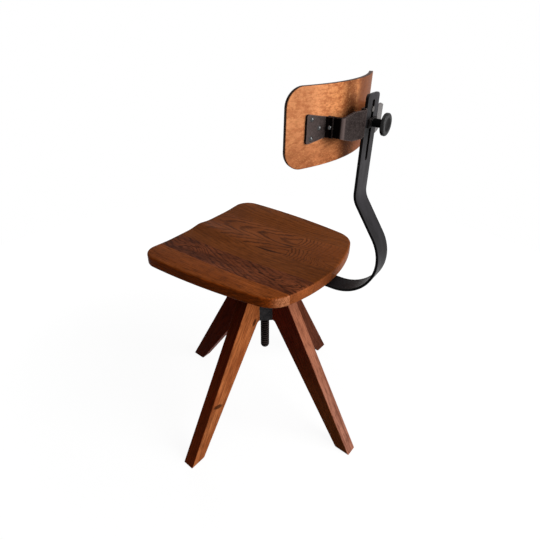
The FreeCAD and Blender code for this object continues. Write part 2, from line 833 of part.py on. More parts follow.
def make_seat():
    blank = make_seat_blank()
    tool = doc.addObject("Part::Feature", "saddle_tool")
    tool.Shape = saddle_tool()
    holes = doc.addObject("Part::Compound", "seat_holes")
    ring = [
        seat_hole(
            "plate_screw_pilot_%d" % angle,
            "seat_screw_radius",
            "seat_screw_bite",
            "plate_screw_reach * cos(%d)" % angle,
            "plate_screw_reach * sin(%d)" % angle,
        )
        for angle in PLATE_SCREW_ANGLES
    ]
    under_bar = [
        seat_hole("bar_screw_pilot_%d" % number, "bar_screw_radius", "bar_screw_bite", x, y)
        for number, (x, y) in enumerate(BAR_SCREW_PLACES)
    ]
    holes.Links = ring + under_bar
    saddled = doc.addObject("Part::Cut", "seat_saddled")
    saddled.Base = blank
    saddled.Tool = tool
    doc.recompute()
    rimmed = doc.addObject("Part::Fillet", "seat_rimmed")
    rimmed.Base = saddled
    top_face = max(saddled.Shape.Faces, key=lambda face: face.CenterOfMass.z)
    rimmed.Edges = [
        (number, size("seat_top_round"), size("seat_top_round"))
        for number, edge in enumerate(saddled.Shape.Edges, start=1)
        if any(edge.isSame(side) for side in top_face.Edges)
    ]
    bored = doc.addObject("Part::Cut", "seat_bored")
    bored.Base = rimmed
    bored.Tool = holes
    doc.recompute()
    edges = [
        "seat_front_half_width + cut_overrun",
        "stave_joint_1",
        "stave_joint_2",
        "stave_joint_3",
        "stave_joint_4",
        "-(seat_front_half_width + cut_overrun)",
    ]
    for number, (left, right) in enumerate(zip(edges, edges[1:]), start=1):
        slab = doc.addObject("Part::Box", "stave_slab_%d" % number)
        slab.setExpression("Length", bound("(%s) - (%s)" % (left, right)))
        slab.setExpression("Width", bound("seat_front_reach + seat_rear_reach + 2 * cut_overrun"))
        slab.setExpression("Height", bound("seat_thickness + 2 * cut_overrun"))
        slab.setExpression("Placement.Base.x", bound(right))
        slab.setExpression("Placement.Base.y", bound("-(seat_front_reach + cut_overrun)"))
        slab.setExpression("Placement.Base.z", bound(SEAT_BOTTOM + " - cut_overrun"))
        stave = doc.addObject("Part::Common", "seat_stave_%d" % number)
        stave.Base = bored
        stave.Tool = slab
        keep(stave, "seat_stave_%d" % number)
    doc.recompute()


make_seat()

# The spring bar: one flat bar from under the seat, round a wide sweep behind
# it, forward to a bend and up to the slotted post
BAR_CENTRE = "(seat_height - seat_thickness - bar_thickness / 2)"
SWEEP_END = (
    "(sweep_reach + sweep_radius * cos(rise_angle))",
    "(%s + sweep_radius + sweep_radius * sin(rise_angle))" % BAR_CENTRE,
)
RISE_LENGTH = (
    "(((%s - post_reach) * cos(bar_lean) + (post_reference_height - %s) * sin(bar_lean))"
    " / sin(rise_angle + bar_lean))" % SWEEP_END
)
BEND_TANGENT = "(bend_radius * tan((rise_angle + bar_lean) / 2))"
BEND_START = (
    "(%s - (%s - %s) * sin(rise_angle))" % (SWEEP_END[0], RISE_LENGTH, BEND_TANGENT),
    "(%s + (%s - %s) * cos(rise_angle))" % (SWEEP_END[1], RISE_LENGTH, BEND_TANGENT),
)
BEND_END = (
    "(%s - %s * sin(rise_angle) + %s * sin(bar_lean))" % (SWEEP_END[0], RISE_LENGTH, BEND_TANGENT),
    "(%s + %s * cos(rise_angle) + %s * cos(bar_lean))" % (SWEEP_END[1], RISE_LENGTH, BEND_TANGENT),
)
POST_END = (
    "(post_reach + (post_top - post_reference_height) * tan(bar_lean))",
    "post_top",
)


def beside(point, side, angle):
    """A point half the bar's thickness off its middle line; angle is the normal's slope."""
    half = "%s bar_thickness / 2" % side
    return (
        "%s %s * cos(%s)" % (point[0], half, angle),
        "%s %s * sin(%s)" % (point[1], half, angle),
    )


def make_back_spring():
    bar = body("back_spring")
    line = sketch(bar, "bar_side", "YZ_Plane")
    under = "%s - bar_thickness / 2" % BAR_CENTRE
    over = "%s + bar_thickness / 2" % BAR_CENTRE
    draw_loop(
        line,
        [
            ("bar_tail_reach", under),
            ("sweep_reach", under, "sweep_radius + bar_thickness / 2", 1),
            beside(SWEEP_END, "+", "rise_angle"),
            beside(BEND_START, "+", "rise_angle") + ("bend_radius - bar_thickness / 2", -1),
            beside(BEND_END, "+", "-bar_lean"),
            beside(POST_END, "+", "-bar_lean"),
            beside(POST_END, "-", "-bar_lean"),
            beside(BEND_END, "-", "-bar_lean") + ("bend_radius + bar_thickness / 2", 1),
            beside(BEND_START, "-", "rise_angle"),
            beside(SWEEP_END, "-", "rise_angle") + ("sweep_radius - bar_thickness / 2", -1),
            ("sweep_reach", over),
            ("bar_tail_reach", over),
        ],
    )
    pad(bar, line, "bar_width", symmetric=True)

    def top_corner(edge):
        points = ends(edge)
        across = all(near(abs(q.x), size("bar_width") / 2) for q in points)
        high = all(q.z > size("post_top - bar_thickness") for q in points)
        return across and high and near(edge.Length, size("bar_thickness"))

    round_edges(bar, "post_corner_round", top_corner, "post_corners")

    def flank(edge):
        return all(near(abs(q.x), size("bar_width") / 2) for q in ends(edge)) and (
            edge.Length > size("bar_width") / 2
        )

    round_edges(bar, "bar_edge_round", flank, "bar_edges")
    slot = sketch(bar, "post_slot", "XZ_Plane")
    draw_loop(
        slot,
        [
            ("-slot_width / 2", "slot_bottom + slot_width / 2"),
            ("slot_width / 2", "slot_bottom + slot_width / 2"),
            ("slot_width / 2", "slot_top - slot_width / 2"),
            ("-slot_width / 2", "slot_top - slot_width / 2"),
        ],
    )
    pocket_all(bar, slot)
    rounds = sketch(bar, "post_slot_ends", "XZ_Plane")
    draw_circle(rounds, "0", "slot_bottom + slot_width / 2", "slot_width / 2", "low")
    draw_circle(rounds, "0", "slot_top - slot_width / 2", "slot_width / 2", "high")
    pocket_all(bar, rounds)
    for number, (x, y) in enumerate(BAR_SCREW_PLACES):
        bore(
            bar,
            "bar_hole_%d" % number,
            "bar_screw_radius + bolt_clearance",
            "bar_thickness",
            (x, y, under),
            (0, 0, 1),
        )
    keep(bar)
    washers = []
    screws = []
    for x, y in BAR_SCREW_PLACES:
        washer_base = "%s - bar_washer_thickness" % under
        disc = cylinder("bar_washer_radius", "bar_washer_thickness", (x, y, washer_base), (0, 0, 1))
        hole = cylinder(
            "bar_screw_radius + bolt_clearance", "bar_washer_thickness", (x, y, washer_base), (0, 0, 1)
        )
        washers.append(disc.cut(hole))
        shank = cylinder(
            "bar_screw_radius",
            "bar_washer_thickness + bar_thickness + bar_screw_bite",
            (x, y, washer_base),
            (0, 0, 1),
        )
        head = hexagon(
            "bar_screw_head_flats",
            "bar_screw_head_height",
            (x, y, "%s - bar_screw_head_height" % washer_base),
            (0, 0, 1),
        )
        screws.append(shank.fuse(head).removeSplitter())
    solid_feature("back_spring_washers", Part.makeCompound(washers))
    solid_feature("back_spring_screws", Part.makeCompound(screws))


make_back_spring()

# The backrest: drawn upright, then leaned back with the post about its middle
POST_FRONT = "(post_reach - bar_thickness / 2)"
POST_REAR = "(post_reach + bar_thickness / 2)"
PANEL_CENTRE = "(%s - panel_gap - panel_bend_radius)" % POST_FRONT
MIDDLE = "post_reference_height"
FLANGE_RADIUS = "(panel_bend_radius + strap_thickness)"
STRAP_WALL = "(bar_width / 2 + strap_recess_clearance)"
RISER_INNER = "(strap_shoulder_reach - strap_thickness)"


def leaned(placement=None):
    pivot = vector("0", "post_reach", MIDDLE)
    turn = FreeCAD.Rotation(FreeCAD.Vector(1, 0, 0), -size("bar_lean"))
    lean = FreeCAD.Placement(FreeCAD.Vector(0, 0, 0), turn, pivot)
    return lean if placement is None else lean.multiply(placement)


def on_arc(x, radius):
    """The y of the panel's bend of that radius at a place across the panel."""
    return "%s + sqrt((%s) ^ 2 - (%s) ^ 2)" % (PANEL_CENTRE, radius, x)


def wing_screw_places():
    """Across the panel, above its middle: the three screws of a wing."""
    return [
        ("wing_screw_reach", "wing_screw_spread"),
        ("wing_inner_screw_reach", "0"),
        ("wing_screw_reach", "-wing_screw_spread"),
    ]


def wing_screw_way(x, sign):
    """From the middle of the panel's bend out through the screw at that place."""
    share = size(x) / size(FLANGE_RADIUS)
    return (sign * share, math.sqrt(1 - share ** 2), 0)


def along_bend(x, sign, radius):
    """The place on the screw's line at that radius of the bend."""
    share = "(%s) / %s" % (x, FLANGE_RADIUS)
    return (
        "%s (%s) * %s" % (sign, radius, share),
        "%s + (%s) * sqrt(1 - (%s) ^ 2)" % (PANEL_CENTRE, radius, share),
    )


SIDES = [("left", 1, ""), ("right", -1, "-")]


def make_panel():
    panel = body("backrest_panel")
    plan = sketch(panel, "panel_plan", "XY_Plane", "%s - panel_height / 2" % MIDDLE)
    inner = "(panel_bend_radius - panel_thickness)"

    def place(radius, sign):
        share = "panel_half_width / panel_bend_radius"
        return (
            "%s %s * %s" % (sign, radius, share),
            "%s + %s * sqrt(1 - (%s) ^ 2)" % (PANEL_CENTRE, radius, share),
        )

    draw_loop(
        plan,
        [
            place("panel_bend_radius", "") + ("panel_bend_radius", 1),
            place("panel_bend_radius", "-"),
            place(inner, "-") + (inner, -1),
            place(inner, ""),
        ],
    )
    pad(panel, plan, "panel_height")

    def corner(edge):
        points = ends(edge)
        return len(points) == 2 and near(edge.Length, size("panel_thickness")) and near(
            points[0].z, points[1].z
        )

    round_edges(panel, "panel_corner_radius", corner, "panel_corners")

    def rim(edge):
        return not near(edge.Length, size("panel_thickness"), size("panel_edge_round") / 2)

    round_edges(panel, "panel_edge_round", rim, "panel_rim")
    for side, sign, mark in SIDES:
        for number, (x, z) in enumerate(wing_screw_places()):
            seat = along_bend(x, mark, "panel_bend_radius - wing_screw_bite")
            bore(
                panel,
                "panel_pilot_%s_%d" % (side, number),
                "wing_screw_radius",
                "wing_screw_bite + panel_thickness",
                seat + ("%s + %s" % (MIDDLE, z),),
                wing_screw_way(x, sign),
            )
    panel.Placement = leaned()
    keep(panel)


make_panel()


def make_strap():
    strap = body("backrest_bracket")
    web_rear = "(%s - slide_clearance)" % POST_FRONT
    web_front = "(%s - strap_thickness)" % web_rear
    shoulder_rear = "(%s - strap_shoulder_drop)" % POST_REAR
    run = "(strap_shoulder_reach - %s)" % STRAP_WALL
    slope = "(strap_shoulder_drop / %s)" % run
    thick = "(strap_thickness * sqrt(1 + %s ^ 2))" % slope
    front_start = "(%s + strap_thickness)" % STRAP_WALL
    plan = sketch(strap, "strap_plan", "XY_Plane", MIDDLE)
    draw_loop(
        plan,
        [
            ("0", web_front),
            (front_start, web_front),
            (front_start, "%s - %s - strap_thickness * %s" % (POST_REAR, thick, slope)),
            (RISER_INNER, "%s - %s + strap_thickness * %s" % (shoulder_rear, thick, slope)),
            (RISER_INNER, on_arc(RISER_INNER, FLANGE_RADIUS)),
            ("strap_shoulder_reach", on_arc("strap_shoulder_reach", FLANGE_RADIUS)),
            ("strap_shoulder_reach", shoulder_rear),
            (STRAP_WALL, POST_REAR),
            (STRAP_WALL, web_rear),
            ("0", web_rear),
        ],
    )
    half = pad(strap, plan, "2 * strap_centre_half_height", symmetric=True)
    both = strap.newObject("PartDesign::Mirrored", "strap_both")
    both.Originals = [half]
    both.MirrorPlane = (plane(strap, "YZ_Plane"), [""])
    strap.Tip = both
    doc.recompute()
    shape_out = sketch(strap, "strap_outline", "XZ_Plane")

    def ring(points):
        upper = [(x, "%s + %s" % (MIDDLE, z)) for x, z in points]
        lower = [(x, "%s - %s" % (MIDDLE, z)) for x, z in points[::-1]]
        return upper + lower

    reach = "(strap_shoulder_reach + cut_overrun)"
    steps = [
        ("-" + reach, "strap_waist_half_height"),
        ("-strap_shoulder_reach", "strap_waist_half_height"),
        ("-strap_taper_reach", "strap_main_half_height"),
        ("-%s" % front_start, "strap_main_half_height"),
        ("-%s" % front_start, "strap_centre_half_height + cut_overrun"),
        (front_start, "strap_centre_half_height + cut_overrun"),
        (front_start, "strap_main_half_height"),
        ("strap_taper_reach", "strap_main_half_height"),
        ("strap_shoulder_reach", "strap_waist_half_height"),
        (reach, "strap_waist_half_height"),
    ]
    outer_reach = "(strap_shoulder_reach + 2 * cut_overrun)"
    outer = "(strap_centre_half_height + 2 * cut_overrun)"
    draw_loop(shape_out, ring(steps)[::-1], "in")
    draw_loop(shape_out, ring([("-" + outer_reach, outer), (outer_reach, outer)])[::-1], "out")
    pocket_all(strap, shape_out)

    def upright_bend(x):
        def chosen(edge):
            points = ends(edge)
            upright = len(points) == 2 and near(points[0].x, points[1].x)
            return (
                upright
                and near(points[0].y, points[1].y)
                and near(abs(points[0].x), size(x))
                and edge.Length > size("strap_waist_half_height")
                and points[0].y > size(shoulder_rear + " - 2 * strap_thickness")
            )

        return chosen

    # A strap bends round on both faces
    for name, radius, x in (
        ("strap_bends", "strap_bend_round", "strap_shoulder_reach"),
        ("strap_inner_bends", "strap_bend_round - strap_thickness", RISER_INNER),
    ):
        round_edges(strap, radius, upright_bend(x), name)
    for name, radius, height in (
        ("bolt", "clamp_bolt_radius", MIDDLE),
        ("pin", "guide_pin_radius", "%s + guide_pin_rise" % MIDDLE),
    ):
        bore(
            strap,
            "strap_%s_hole" % name,
            radius + " + bolt_clearance",
            "strap_thickness",
            ("0", web_front, height),
            (0, 1, 0),
        )
    for side, sign, mark in SIDES:
        bore(
            strap,
            "strap_rivet_hole_" + side,
            "rivet_radius",
            "strap_thickness",
            (mark + RISER_INNER, rivet_place(), MIDDLE),
            (sign, 0, 0),
        )
    strap.Placement = leaned()
    keep(strap)


def rivet_place():
    """How far back the rivets sit: off the flange, in the middle of the upstand."""
    return "%s + wing_upstand / 2" % on_arc("strap_shoulder_reach", FLANGE_RADIUS)


make_strap()


def make_wing(side, sign, mark):
    wing = body("bracket_wing_" + side)
    plan = sketch(wing, "wing_plan_" + side, "XY_Plane", MIDDLE)
    base_y = on_arc("strap_shoulder_reach", FLANGE_RADIUS)
    outer_face = "(strap_shoulder_reach + strap_thickness)"
    top = "%s + wing_upstand" % base_y
    points = [
        (RISER_INNER, on_arc(RISER_INNER, "panel_bend_radius"), "panel_bend_radius", -1),
        ("wing_outer_reach", on_arc("wing_outer_reach", "panel_bend_radius")),
        ("wing_outer_reach", on_arc("wing_outer_reach", FLANGE_RADIUS), FLANGE_RADIUS, 1),
        (outer_face, on_arc(outer_face, FLANGE_RADIUS)),
        (outer_face, top),
        ("strap_shoulder_reach", top),
        ("strap_shoulder_reach", base_y),
        (RISER_INNER, on_arc(RISER_INNER, FLANGE_RADIUS)),
    ]
    if sign < 0:
        points = mirrored_loop(points)
    draw_loop(plan, points)
    pad(wing, plan, "2 * wing_outer_half_height", symmetric=True)
    outline = sketch(wing, "wing_outline_" + side, "XZ_Plane")
    slope = (
        "(wing_outer_half_height - strap_waist_half_height) / (wing_outer_reach - strap_shoulder_reach)"
    )
    outer = "wing_outer_half_height + cut_overrun"
    for half, up in (("upper", ""), ("lower", "-")):
        inner_height = "%s - %s * (strap_shoulder_reach - %s)" % (
            "strap_waist_half_height",
            slope,
            RISER_INNER,
        )
        triangle = [
            (mark + RISER_INNER, "%s + %s(%s)" % (MIDDLE, up, inner_height)),
            (mark + "wing_outer_reach", "%s + %s(wing_outer_half_height)" % (MIDDLE, up)),
            (mark + "wing_outer_reach", "%s + %s(%s)" % (MIDDLE, up, outer)),
            (mark + RISER_INNER, "%s + %s(%s)" % (MIDDLE, up, outer)),
        ]
        draw_loop(outline, triangle, half)
    pocket_all(wing, outline)

    def outer_corner(edge):
        points = ends(edge)
        if len(points) < 2 or not near(points[0].z, points[1].z):
            return False
        return all(near(abs(q.x), size("wing_outer_reach")) for q in points)

    round_edges(wing, "wing_corner_round", outer_corner, "wing_corners_" + side)
    for number, (x, z) in enumerate(wing_screw_places()):
        bore(
            wing,
            "wing_hole_%s_%d" % (side, number),
            "wing_screw_radius",
            "2 * strap_thickness",
            along_bend(x, mark, "panel_bend_radius - strap_thickness / 2") + ("%s + %s" % (MIDDLE, z),),
            wing_screw_way(x, sign),
        )
    bore(
        wing,
        "wing_rivet_hole_" + side,
        "rivet_radius",
        "strap_thickness",
        (mark + "strap_shoulder_reach", rivet_place(), MIDDLE),
        (sign, 0, 0),
    )
    wing.Placement = leaned()
    keep(wing)


def mirrored_loop(points):
    """The loop seen in the plane x = 0: the corners in reverse, each arc with its new start."""
    flipped = []
    count = len(points)
    for number in range(count):
        corner = points[(count - number) % count]
        before = points[(count - number - 1) % count]
        flipped.append(("-(%s)" % corner[0], corner[1]) + tuple(before[2:]))
    return flipped


for wing_side in SIDES:
    make_wing(*wing_side)


def make_bracket_fixings():
    screws = []
    rivets = []
    for _, sign, mark in SIDES:
        for x, z in wing_screw_places():
            way = wing_screw_way(x, sign)
            height = "%s + %s" % (MIDDLE, z)
            point = along_bend(x, mark, "panel_bend_radius - wing_screw_bite") + (height,)
            seat = along_bend(x, mark, FLANGE_RADIUS) + (height,)
            shank = cylinder("wing_screw_radius", "wing_screw_bite + strap_thickness", point, way)
            screws.append(shank.fuse(dome("wing_screw_head_radius", "wing_screw_head_height", seat, way)))
        inner = (mark + RISER_INNER, rivet_place(), MIDDLE)
        outer = (mark + "(strap_shoulder_reach + strap_thickness)", rivet_place(), MIDDLE)
        shank = cylinder("rivet_radius", "2 * strap_thickness", inner, (sign, 0, 0))
        heads = [
            dome("rivet_head_radius", "rivet_head_height", outer, (sign, 0, 0)),
            dome("rivet_head_radius", "rivet_head_height", inner, (-sign, 0, 0)),
        ]
        rivets.append(shank.multiFuse(heads))
    solid_feature("bracket_screws", Part.makeCompound(screws), leaned())
    solid_feature("bracket_rivets", Part.makeCompound(rivets), leaned())


make_bracket_fixings()

# The clamp: a bolt and a guide pin in the slot, a washer and a knob behind it
WEB_FRONT = "(%s - slide_clearance - strap_thickness)" % POST_FRONT
WASHER_FRONT = "(%s + slide_clearance)" % POST_REAR
KNOB_FRONT = "(%s + clamp_washer_thickness)" % WASHER_FRONT
KNOB_LENGTH = "(knob_shank_length + knob_disc_thickness)"
BORE_DEPTH = "(%s - knob_disc_thickness / 2)" % KNOB_LENGTH


def make_clamp_bolt():
    back = (0, 1, 0)
    shank = cylinder(
        "clamp_bolt_radius",
        "%s + %s - clamp_bolt_end_gap - %s" % (KNOB_FRONT, BORE_DEPTH, WEB_FRONT),
        ("0", WEB_FRONT, MIDDLE),
        back,
    )
    head = dome("clamp_bolt_head_radius", "clamp_bolt_head_height", ("0", WEB_FRONT, MIDDLE), (0, -1, 0))
    solid_feature("clamp_bolt", shank.fuse(head), leaned())
    height = "%s + guide_pin_rise" % MIDDLE
    pin = cylinder(
        "guide_pin_radius",
        "%s + guide_pin_stand - %s" % (POST_REAR, WEB_FRONT),
        ("0", WEB_FRONT, height),
        back,
    )
    cap = dome("guide_pin_head_radius", "guide_pin_head_height", ("0", WEB_FRONT, height), (0, -1, 0))
    solid_feature("guide_pin", pin.fuse(cap), leaned())


make_clamp_bolt()


def make_clamp_washer():
    washer = body("clamp_washer")
    face = sketch(washer, "washer_face", "XY_Plane")
    draw_loop(
        face,
        [
            ("-clamp_washer_width / 2", "-clamp_washer_height / 2"),
            ("clamp_washer_width / 2", "-clamp_washer_height / 2"),
            ("clamp_washer_width / 2", "clamp_washer_height / 2"),
            ("-clamp_washer_width / 2", "clamp_washer_height / 2"),
        ],
    )
    draw_circle(face, "0", "0", "clamp_bolt_radius + spindle_running_clearance", "bore")
    pad(washer, face, "clamp_washer_thickness")
    washer.Placement = leaned(axial(WASHER_FRONT))
    keep(washer)


def axial(reach):
    """A frame on the bolt's axis, its own upward axis turned to point backwards."""
    turn = FreeCAD.Rotation(FreeCAD.Vector(1, 0, 0), FreeCAD.Vector(0, 0, 1), FreeCAD.Vector(0, 1, 0), "XZY")
    return FreeCAD.Placement(vector("0", reach, MIDDLE), turn)


make_clamp_washer()


def make_knob():
    knob = body("clamp_knob")
    half = sketch(knob, "knob_half", "XZ_Plane")
    bore_radius = "(clamp_bolt_radius + spindle_running_clearance)"
    draw_loop(
        half,
        [
            (bore_radius, "0"),
            ("knob_shank_radius", "0"),
            ("knob_shank_radius", "knob_shank_length"),
            ("knob_disc_radius", "knob_shank_length"),
            ("knob_disc_radius", KNOB_LENGTH),
            ("knob_dish_radius", KNOB_LENGTH),
            ("0", "%s - knob_dish_depth" % KNOB_LENGTH),
            ("0", BORE_DEPTH),
            (bore_radius, BORE_DEPTH),
        ],
    )
    turned = knob.newObject("PartDesign::Revolution", "knob_turned")
    turned.Profile = half
    turned.ReferenceAxis = (half, ["V_Axis"])
    turned.Angle = 360
    doc.recompute()

    def disc_rim(edge):
        return edge.Closed and near(edge.BoundBox.XMax, size("knob_disc_radius"))

    round_edges(knob, "knob_disc_round", disc_rim, "knob_disc_rims")
    knob.Placement = leaned(axial(KNOB_FRONT))
    keep(knob)


make_knob()
doc.recompute()

# Every object recomputed without a fault, and every piece a sound solid
for thing in doc.Objects:
    if "Invalid" in thing.State or "Error" in thing.State:
        raise RuntimeError(thing.Name + ": " + ", ".join(thing.State))
for piece in PIECES:
    if piece.Shape.isNull() or not piece.Shape.isValid() or not piece.Shape.Solids:
        raise RuntimeError(piece.Label + ": no sound solid")

os.makedirs("parts", exist_ok=True)
for piece in PIECES:
    piece.Shape.exportStep("parts/%s.step" % piece.Label)
    print("%-24s %8.1f cm3" % (piece.Label, piece.Shape.Volume / 1000))
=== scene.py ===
# %% [markdown]
# # A draughtsman chair
# This lesson dresses a work chair: four splayed timber legs on an iron hub, a
# threaded spindle, a saddled seat of glued boards, and a small curved backrest
# on a sprung steel post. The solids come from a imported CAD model. Their shapes
# stay, and each gets a finish made of nodes. Lengths are in metres, +Z is up,
# the sitter faces -Y, and the sitter's left is +X.

import math

import bpy
import numpy as np
from mathutils import Matrix, Vector

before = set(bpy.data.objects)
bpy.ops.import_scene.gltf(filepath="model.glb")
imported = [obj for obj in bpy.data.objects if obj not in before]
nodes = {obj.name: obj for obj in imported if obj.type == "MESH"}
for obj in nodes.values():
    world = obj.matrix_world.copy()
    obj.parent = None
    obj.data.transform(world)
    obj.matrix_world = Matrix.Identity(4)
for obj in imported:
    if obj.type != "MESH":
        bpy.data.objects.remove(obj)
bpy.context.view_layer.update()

# %% [markdown]
# ## The camera
# A photograph fixes a camera by its focal length, its place and its turn. These
# were fitted to the outline of the chair: a wide lens close by, from behind the
# sitter's left shoulder. A matrix with the camera's right, up and backward
# directions as columns sets the turn exactly, which tracking a target wouldn't.

# %% Camera
SENSOR = 36.0
PHOTO_WIDTH = 540
FOCAL_PIXELS = 419.19
MIDDLE_PIXEL = (278.79, 260.94)
AZIMUTH = math.radians(124.03)
ELEVATION = math.radians(30.71)
ROLL = math.radians(1.03)
TARGET = Vector((0.0, 0.0444, 0.5188))
DISTANCE = 1.0751

backward = Vector(
    (
        math.sin(AZIMUTH) * math.cos(ELEVATION),
        -math.cos(AZIMUTH) * math.cos(ELEVATION),
        math.sin(ELEVATION),
    )
)
level_right = Vector((math.cos(AZIMUTH), math.sin(AZIMUTH), 0.0))
level_up = backward.cross(level_right)
right = level_right * math.cos(ROLL) + level_up * math.sin(ROLL)
up = level_up * math.cos(ROLL) - level_right * math.sin(ROLL)
turn = Matrix((right, up, backward)).transposed().to_4x4()

camera = bpy.data.objects.new("camera", bpy.data.cameras.new("camera"))
bpy.context.scene.collection.objects.link(camera)
camera.matrix_world = Matrix.Translation(TARGET + backward * DISTANCE) @ turn
camera.data.sensor_width = SENSOR
camera.data.lens = FOCAL_PIXELS * SENSOR / PHOTO_WIDTH
camera.data.shift_x = (PHOTO_WIDTH / 2 - MIDDLE_PIXEL[0]) / PHOTO_WIDTH
camera.data.shift_y = (MIDDLE_PIXEL[1] - PHOTO_WIDTH / 2) / PHOTO_WIDTH
bpy.context.scene.camera = camera
print("camera at", [round(v, 4) for v in camera.matrix_world.translation])

# %% [markdown]
# ## Building with nodes
# Every finish below is a small graph of nodes. Writing each node in full takes
# many lines, so one helper adds a node, sets its options and fills its inputs.
# An input may be a plain value or the output of another node, which is linked.
# Short helpers for sums, steps, blends and noise stand on that one.


# %% Helpers that add nodes
def fill(tree, socket, value):
    """Links another node's output to an input, or writes a plain value there."""
    if isinstance(value, bpy.types.NodeSocket):
        tree.links.new(value, socket)
    else:
        socket.default_value = value


def add(tree, kind, options=None, **values):
    """One node of a kind; options are its properties, values its inputs by name,
    with spaces as underscores, or by place, as i0, i1, i2."""
    node = tree.nodes.new(kind)
    for key, option in (options or {}).items():
        setattr(node, key, option)
    for key, value in values.items():
        by_place = key[0] == "i" and key[1:].isdigit()
        place = int(key[1:]) if by_place else key.replace("_", " ")
        fill(tree, node.inputs[place], value)
    return node


def calculate(tree, operation, *values):
    """A number worked out from one or two others."""
    inputs = {"i%d" % place: value for place, value in enumerate(values)}
    return add(tree, "ShaderNodeMath", {"operation": operation}, **inputs).outputs[0]


def sum_of(tree, a, b):
    return calculate(tree, "ADD", a, b)


def less(tree, a, b):
    return calculate(tree, "SUBTRACT", a, b)


def times(tree, a, b):
    return calculate(tree, "MULTIPLY", a, b)


def calculate_vector(tree, operation, *values):
    """The same for vectors; a length or a dot product comes out as a number."""
    inputs = {"i%d" % place: value for place, value in enumerate(values)}
    node = add(tree, "ShaderNodeVectorMath", {"operation": operation}, **inputs)
    return node.outputs["Value" if operation in ("LENGTH", "DOT_PRODUCT") else "Vector"]


def scaled_by(tree, vector, factor):
    """A vector or colour times a number."""
    options = {"operation": "SCALE"}
    return add(tree, "ShaderNodeVectorMath", options, i0=vector, Scale=factor).outputs[0]


def mapped(tree, vector, kind="POINT", **values):
    """Coordinates scaled, turned and moved, in that order."""
    return add(tree, "ShaderNodeMapping", {"vector_type": kind}, Vector=vector, **values).outputs[0]


def parts_of(tree, vector):
    return add(tree, "ShaderNodeSeparateXYZ", i0=vector).outputs


def radius_in(tree, vector, plane):
    """Distance from an axis; plane is one for the two directions across it."""
    return calculate_vector(tree, "LENGTH", calculate_vector(tree, "MULTIPLY", vector, plane))


def step_between(tree, value, low, high, first=0.0, last=1.0):
    """The value carried smoothly from first to last as it goes from low to high."""
    options = {"interpolation_type": "SMOOTHSTEP"}
    node = add(
        tree, "ShaderNodeMapRange", options, Value=value, From_Min=low, From_Max=high,
        To_Min=first, To_Max=last,
    )
    return node.outputs["Result"]


def blend_numbers(tree, share, first, last):
    """A number between two, by a share from 0 to 1."""
    options = {"data_type": "FLOAT"}
    return add(tree, "ShaderNodeMix", options, i0=share, i2=first, i3=last).outputs[0]


def blend_colours(tree, share, first, last):
    """A colour between two, by a share from 0 to 1."""
    ends = [
        value if isinstance(value, bpy.types.NodeSocket) else (*value[:3], 1.0)
        for value in (first, last)
    ]
    options = {"data_type": "RGBA"}
    return add(tree, "ShaderNodeMix", options, i0=share, i6=ends[0], i7=ends[1]).outputs[2]


def noise_on(tree, vector, scale, detail=3.0, roughness=0.6, output="Fac"):
    """Noise that gets finer by a scale: one number, or one for each way."""
    if isinstance(scale, tuple):
        vector, scale = mapped(tree, vector, Scale=scale), 1.0
    node = add(
        tree, "ShaderNodeTexNoise", Vector=vector, Scale=scale, Detail=detail, Roughness=roughness
    )
    return node.outputs[output]


def new_group(name, inputs, outputs):
    """An empty node group: inputs and outputs are (name, kind)."""
    group = bpy.data.node_groups.new(name, "ShaderNodeTree")
    for in_out, sockets in (("INPUT", inputs), ("OUTPUT", outputs)):
        for label, kind in sockets:
            group.interface.new_socket(label, in_out=in_out, socket_type=kind)
    entry = group.nodes.new("NodeGroupInput")
    leave = group.nodes.new("NodeGroupOutput")
    return group, entry.outputs, leave.inputs


def use_group(tree, group, **values):
    return add(tree, "ShaderNodeGroup", {"node_tree": group}, **values).outputs


def new_finish(name):
    """An empty material with its tree and its Principled shader."""
    material = bpy.data.materials.new(name)
    material.use_nodes = True
    tree = material.node_tree
    return material, tree, tree.nodes["Principled BSDF"]


def dress(material, *names):
    """Gives CAD nodes a material in every slot that they have."""
    for name in names:
        for slot in nodes[name].material_slots:
            slot.material = material
    print(material.name, "on", ", ".join(names))


# %% [markdown]
# ## Growth rings
# Wood shows what a saw made of a tree. The trunk is a stack of cones round its
# middle, the pith, and each year adds a pale layer that ends in a dark line. A
# board's face cuts those cones: nearly along them it shows straight lines, and
# across their slope the pointed arches that joiners call a cathedral. A photo
# or a wave texture would repeat. Here each point's distance from a bent,
# wandering pith is worked out, and its share of a ring width gives the line.
# A knot or a dent in the trunk pushes the layers aside, and a face through it
# shows closed loops: that is a swell, a smooth hill round one place.

# %% Rings and swells, as groups
FLOAT = "NodeSocketFloat"
VECTOR = "NodeSocketVector"


def build_swell():
    """A hill one high: one at its place, nought at twice its half sizes."""
    inputs = [("Vector", VECTOR), ("Place", VECTOR), ("Half Size", VECTOR)]
    tree, given, out = new_group("swell", inputs, [("Hill", FLOAT)])
    offset = calculate_vector(tree, "SUBTRACT", given["Vector"], given["Place"])
    shrunk = calculate_vector(tree, "DIVIDE", offset, given["Half Size"])
    far = calculate_vector(tree, "LENGTH", shrunk)
    tree.links.new(step_between(tree, far, 0.0, 2.0, 1.0, 0.0), out["Hill"])
    return tree


RING_INPUTS = (
    "Pith Across", "Pith Height", "Twin", "Crest", "Climb Before", "Climb After", "Drift",
    "Ring Width", "Wander", "Ripple", "Swell",
)
JAGGEDNESS = 0.45
LINE_RISES, LINE_FALLS = (0.42, 0.72), (0.86, 1.0)


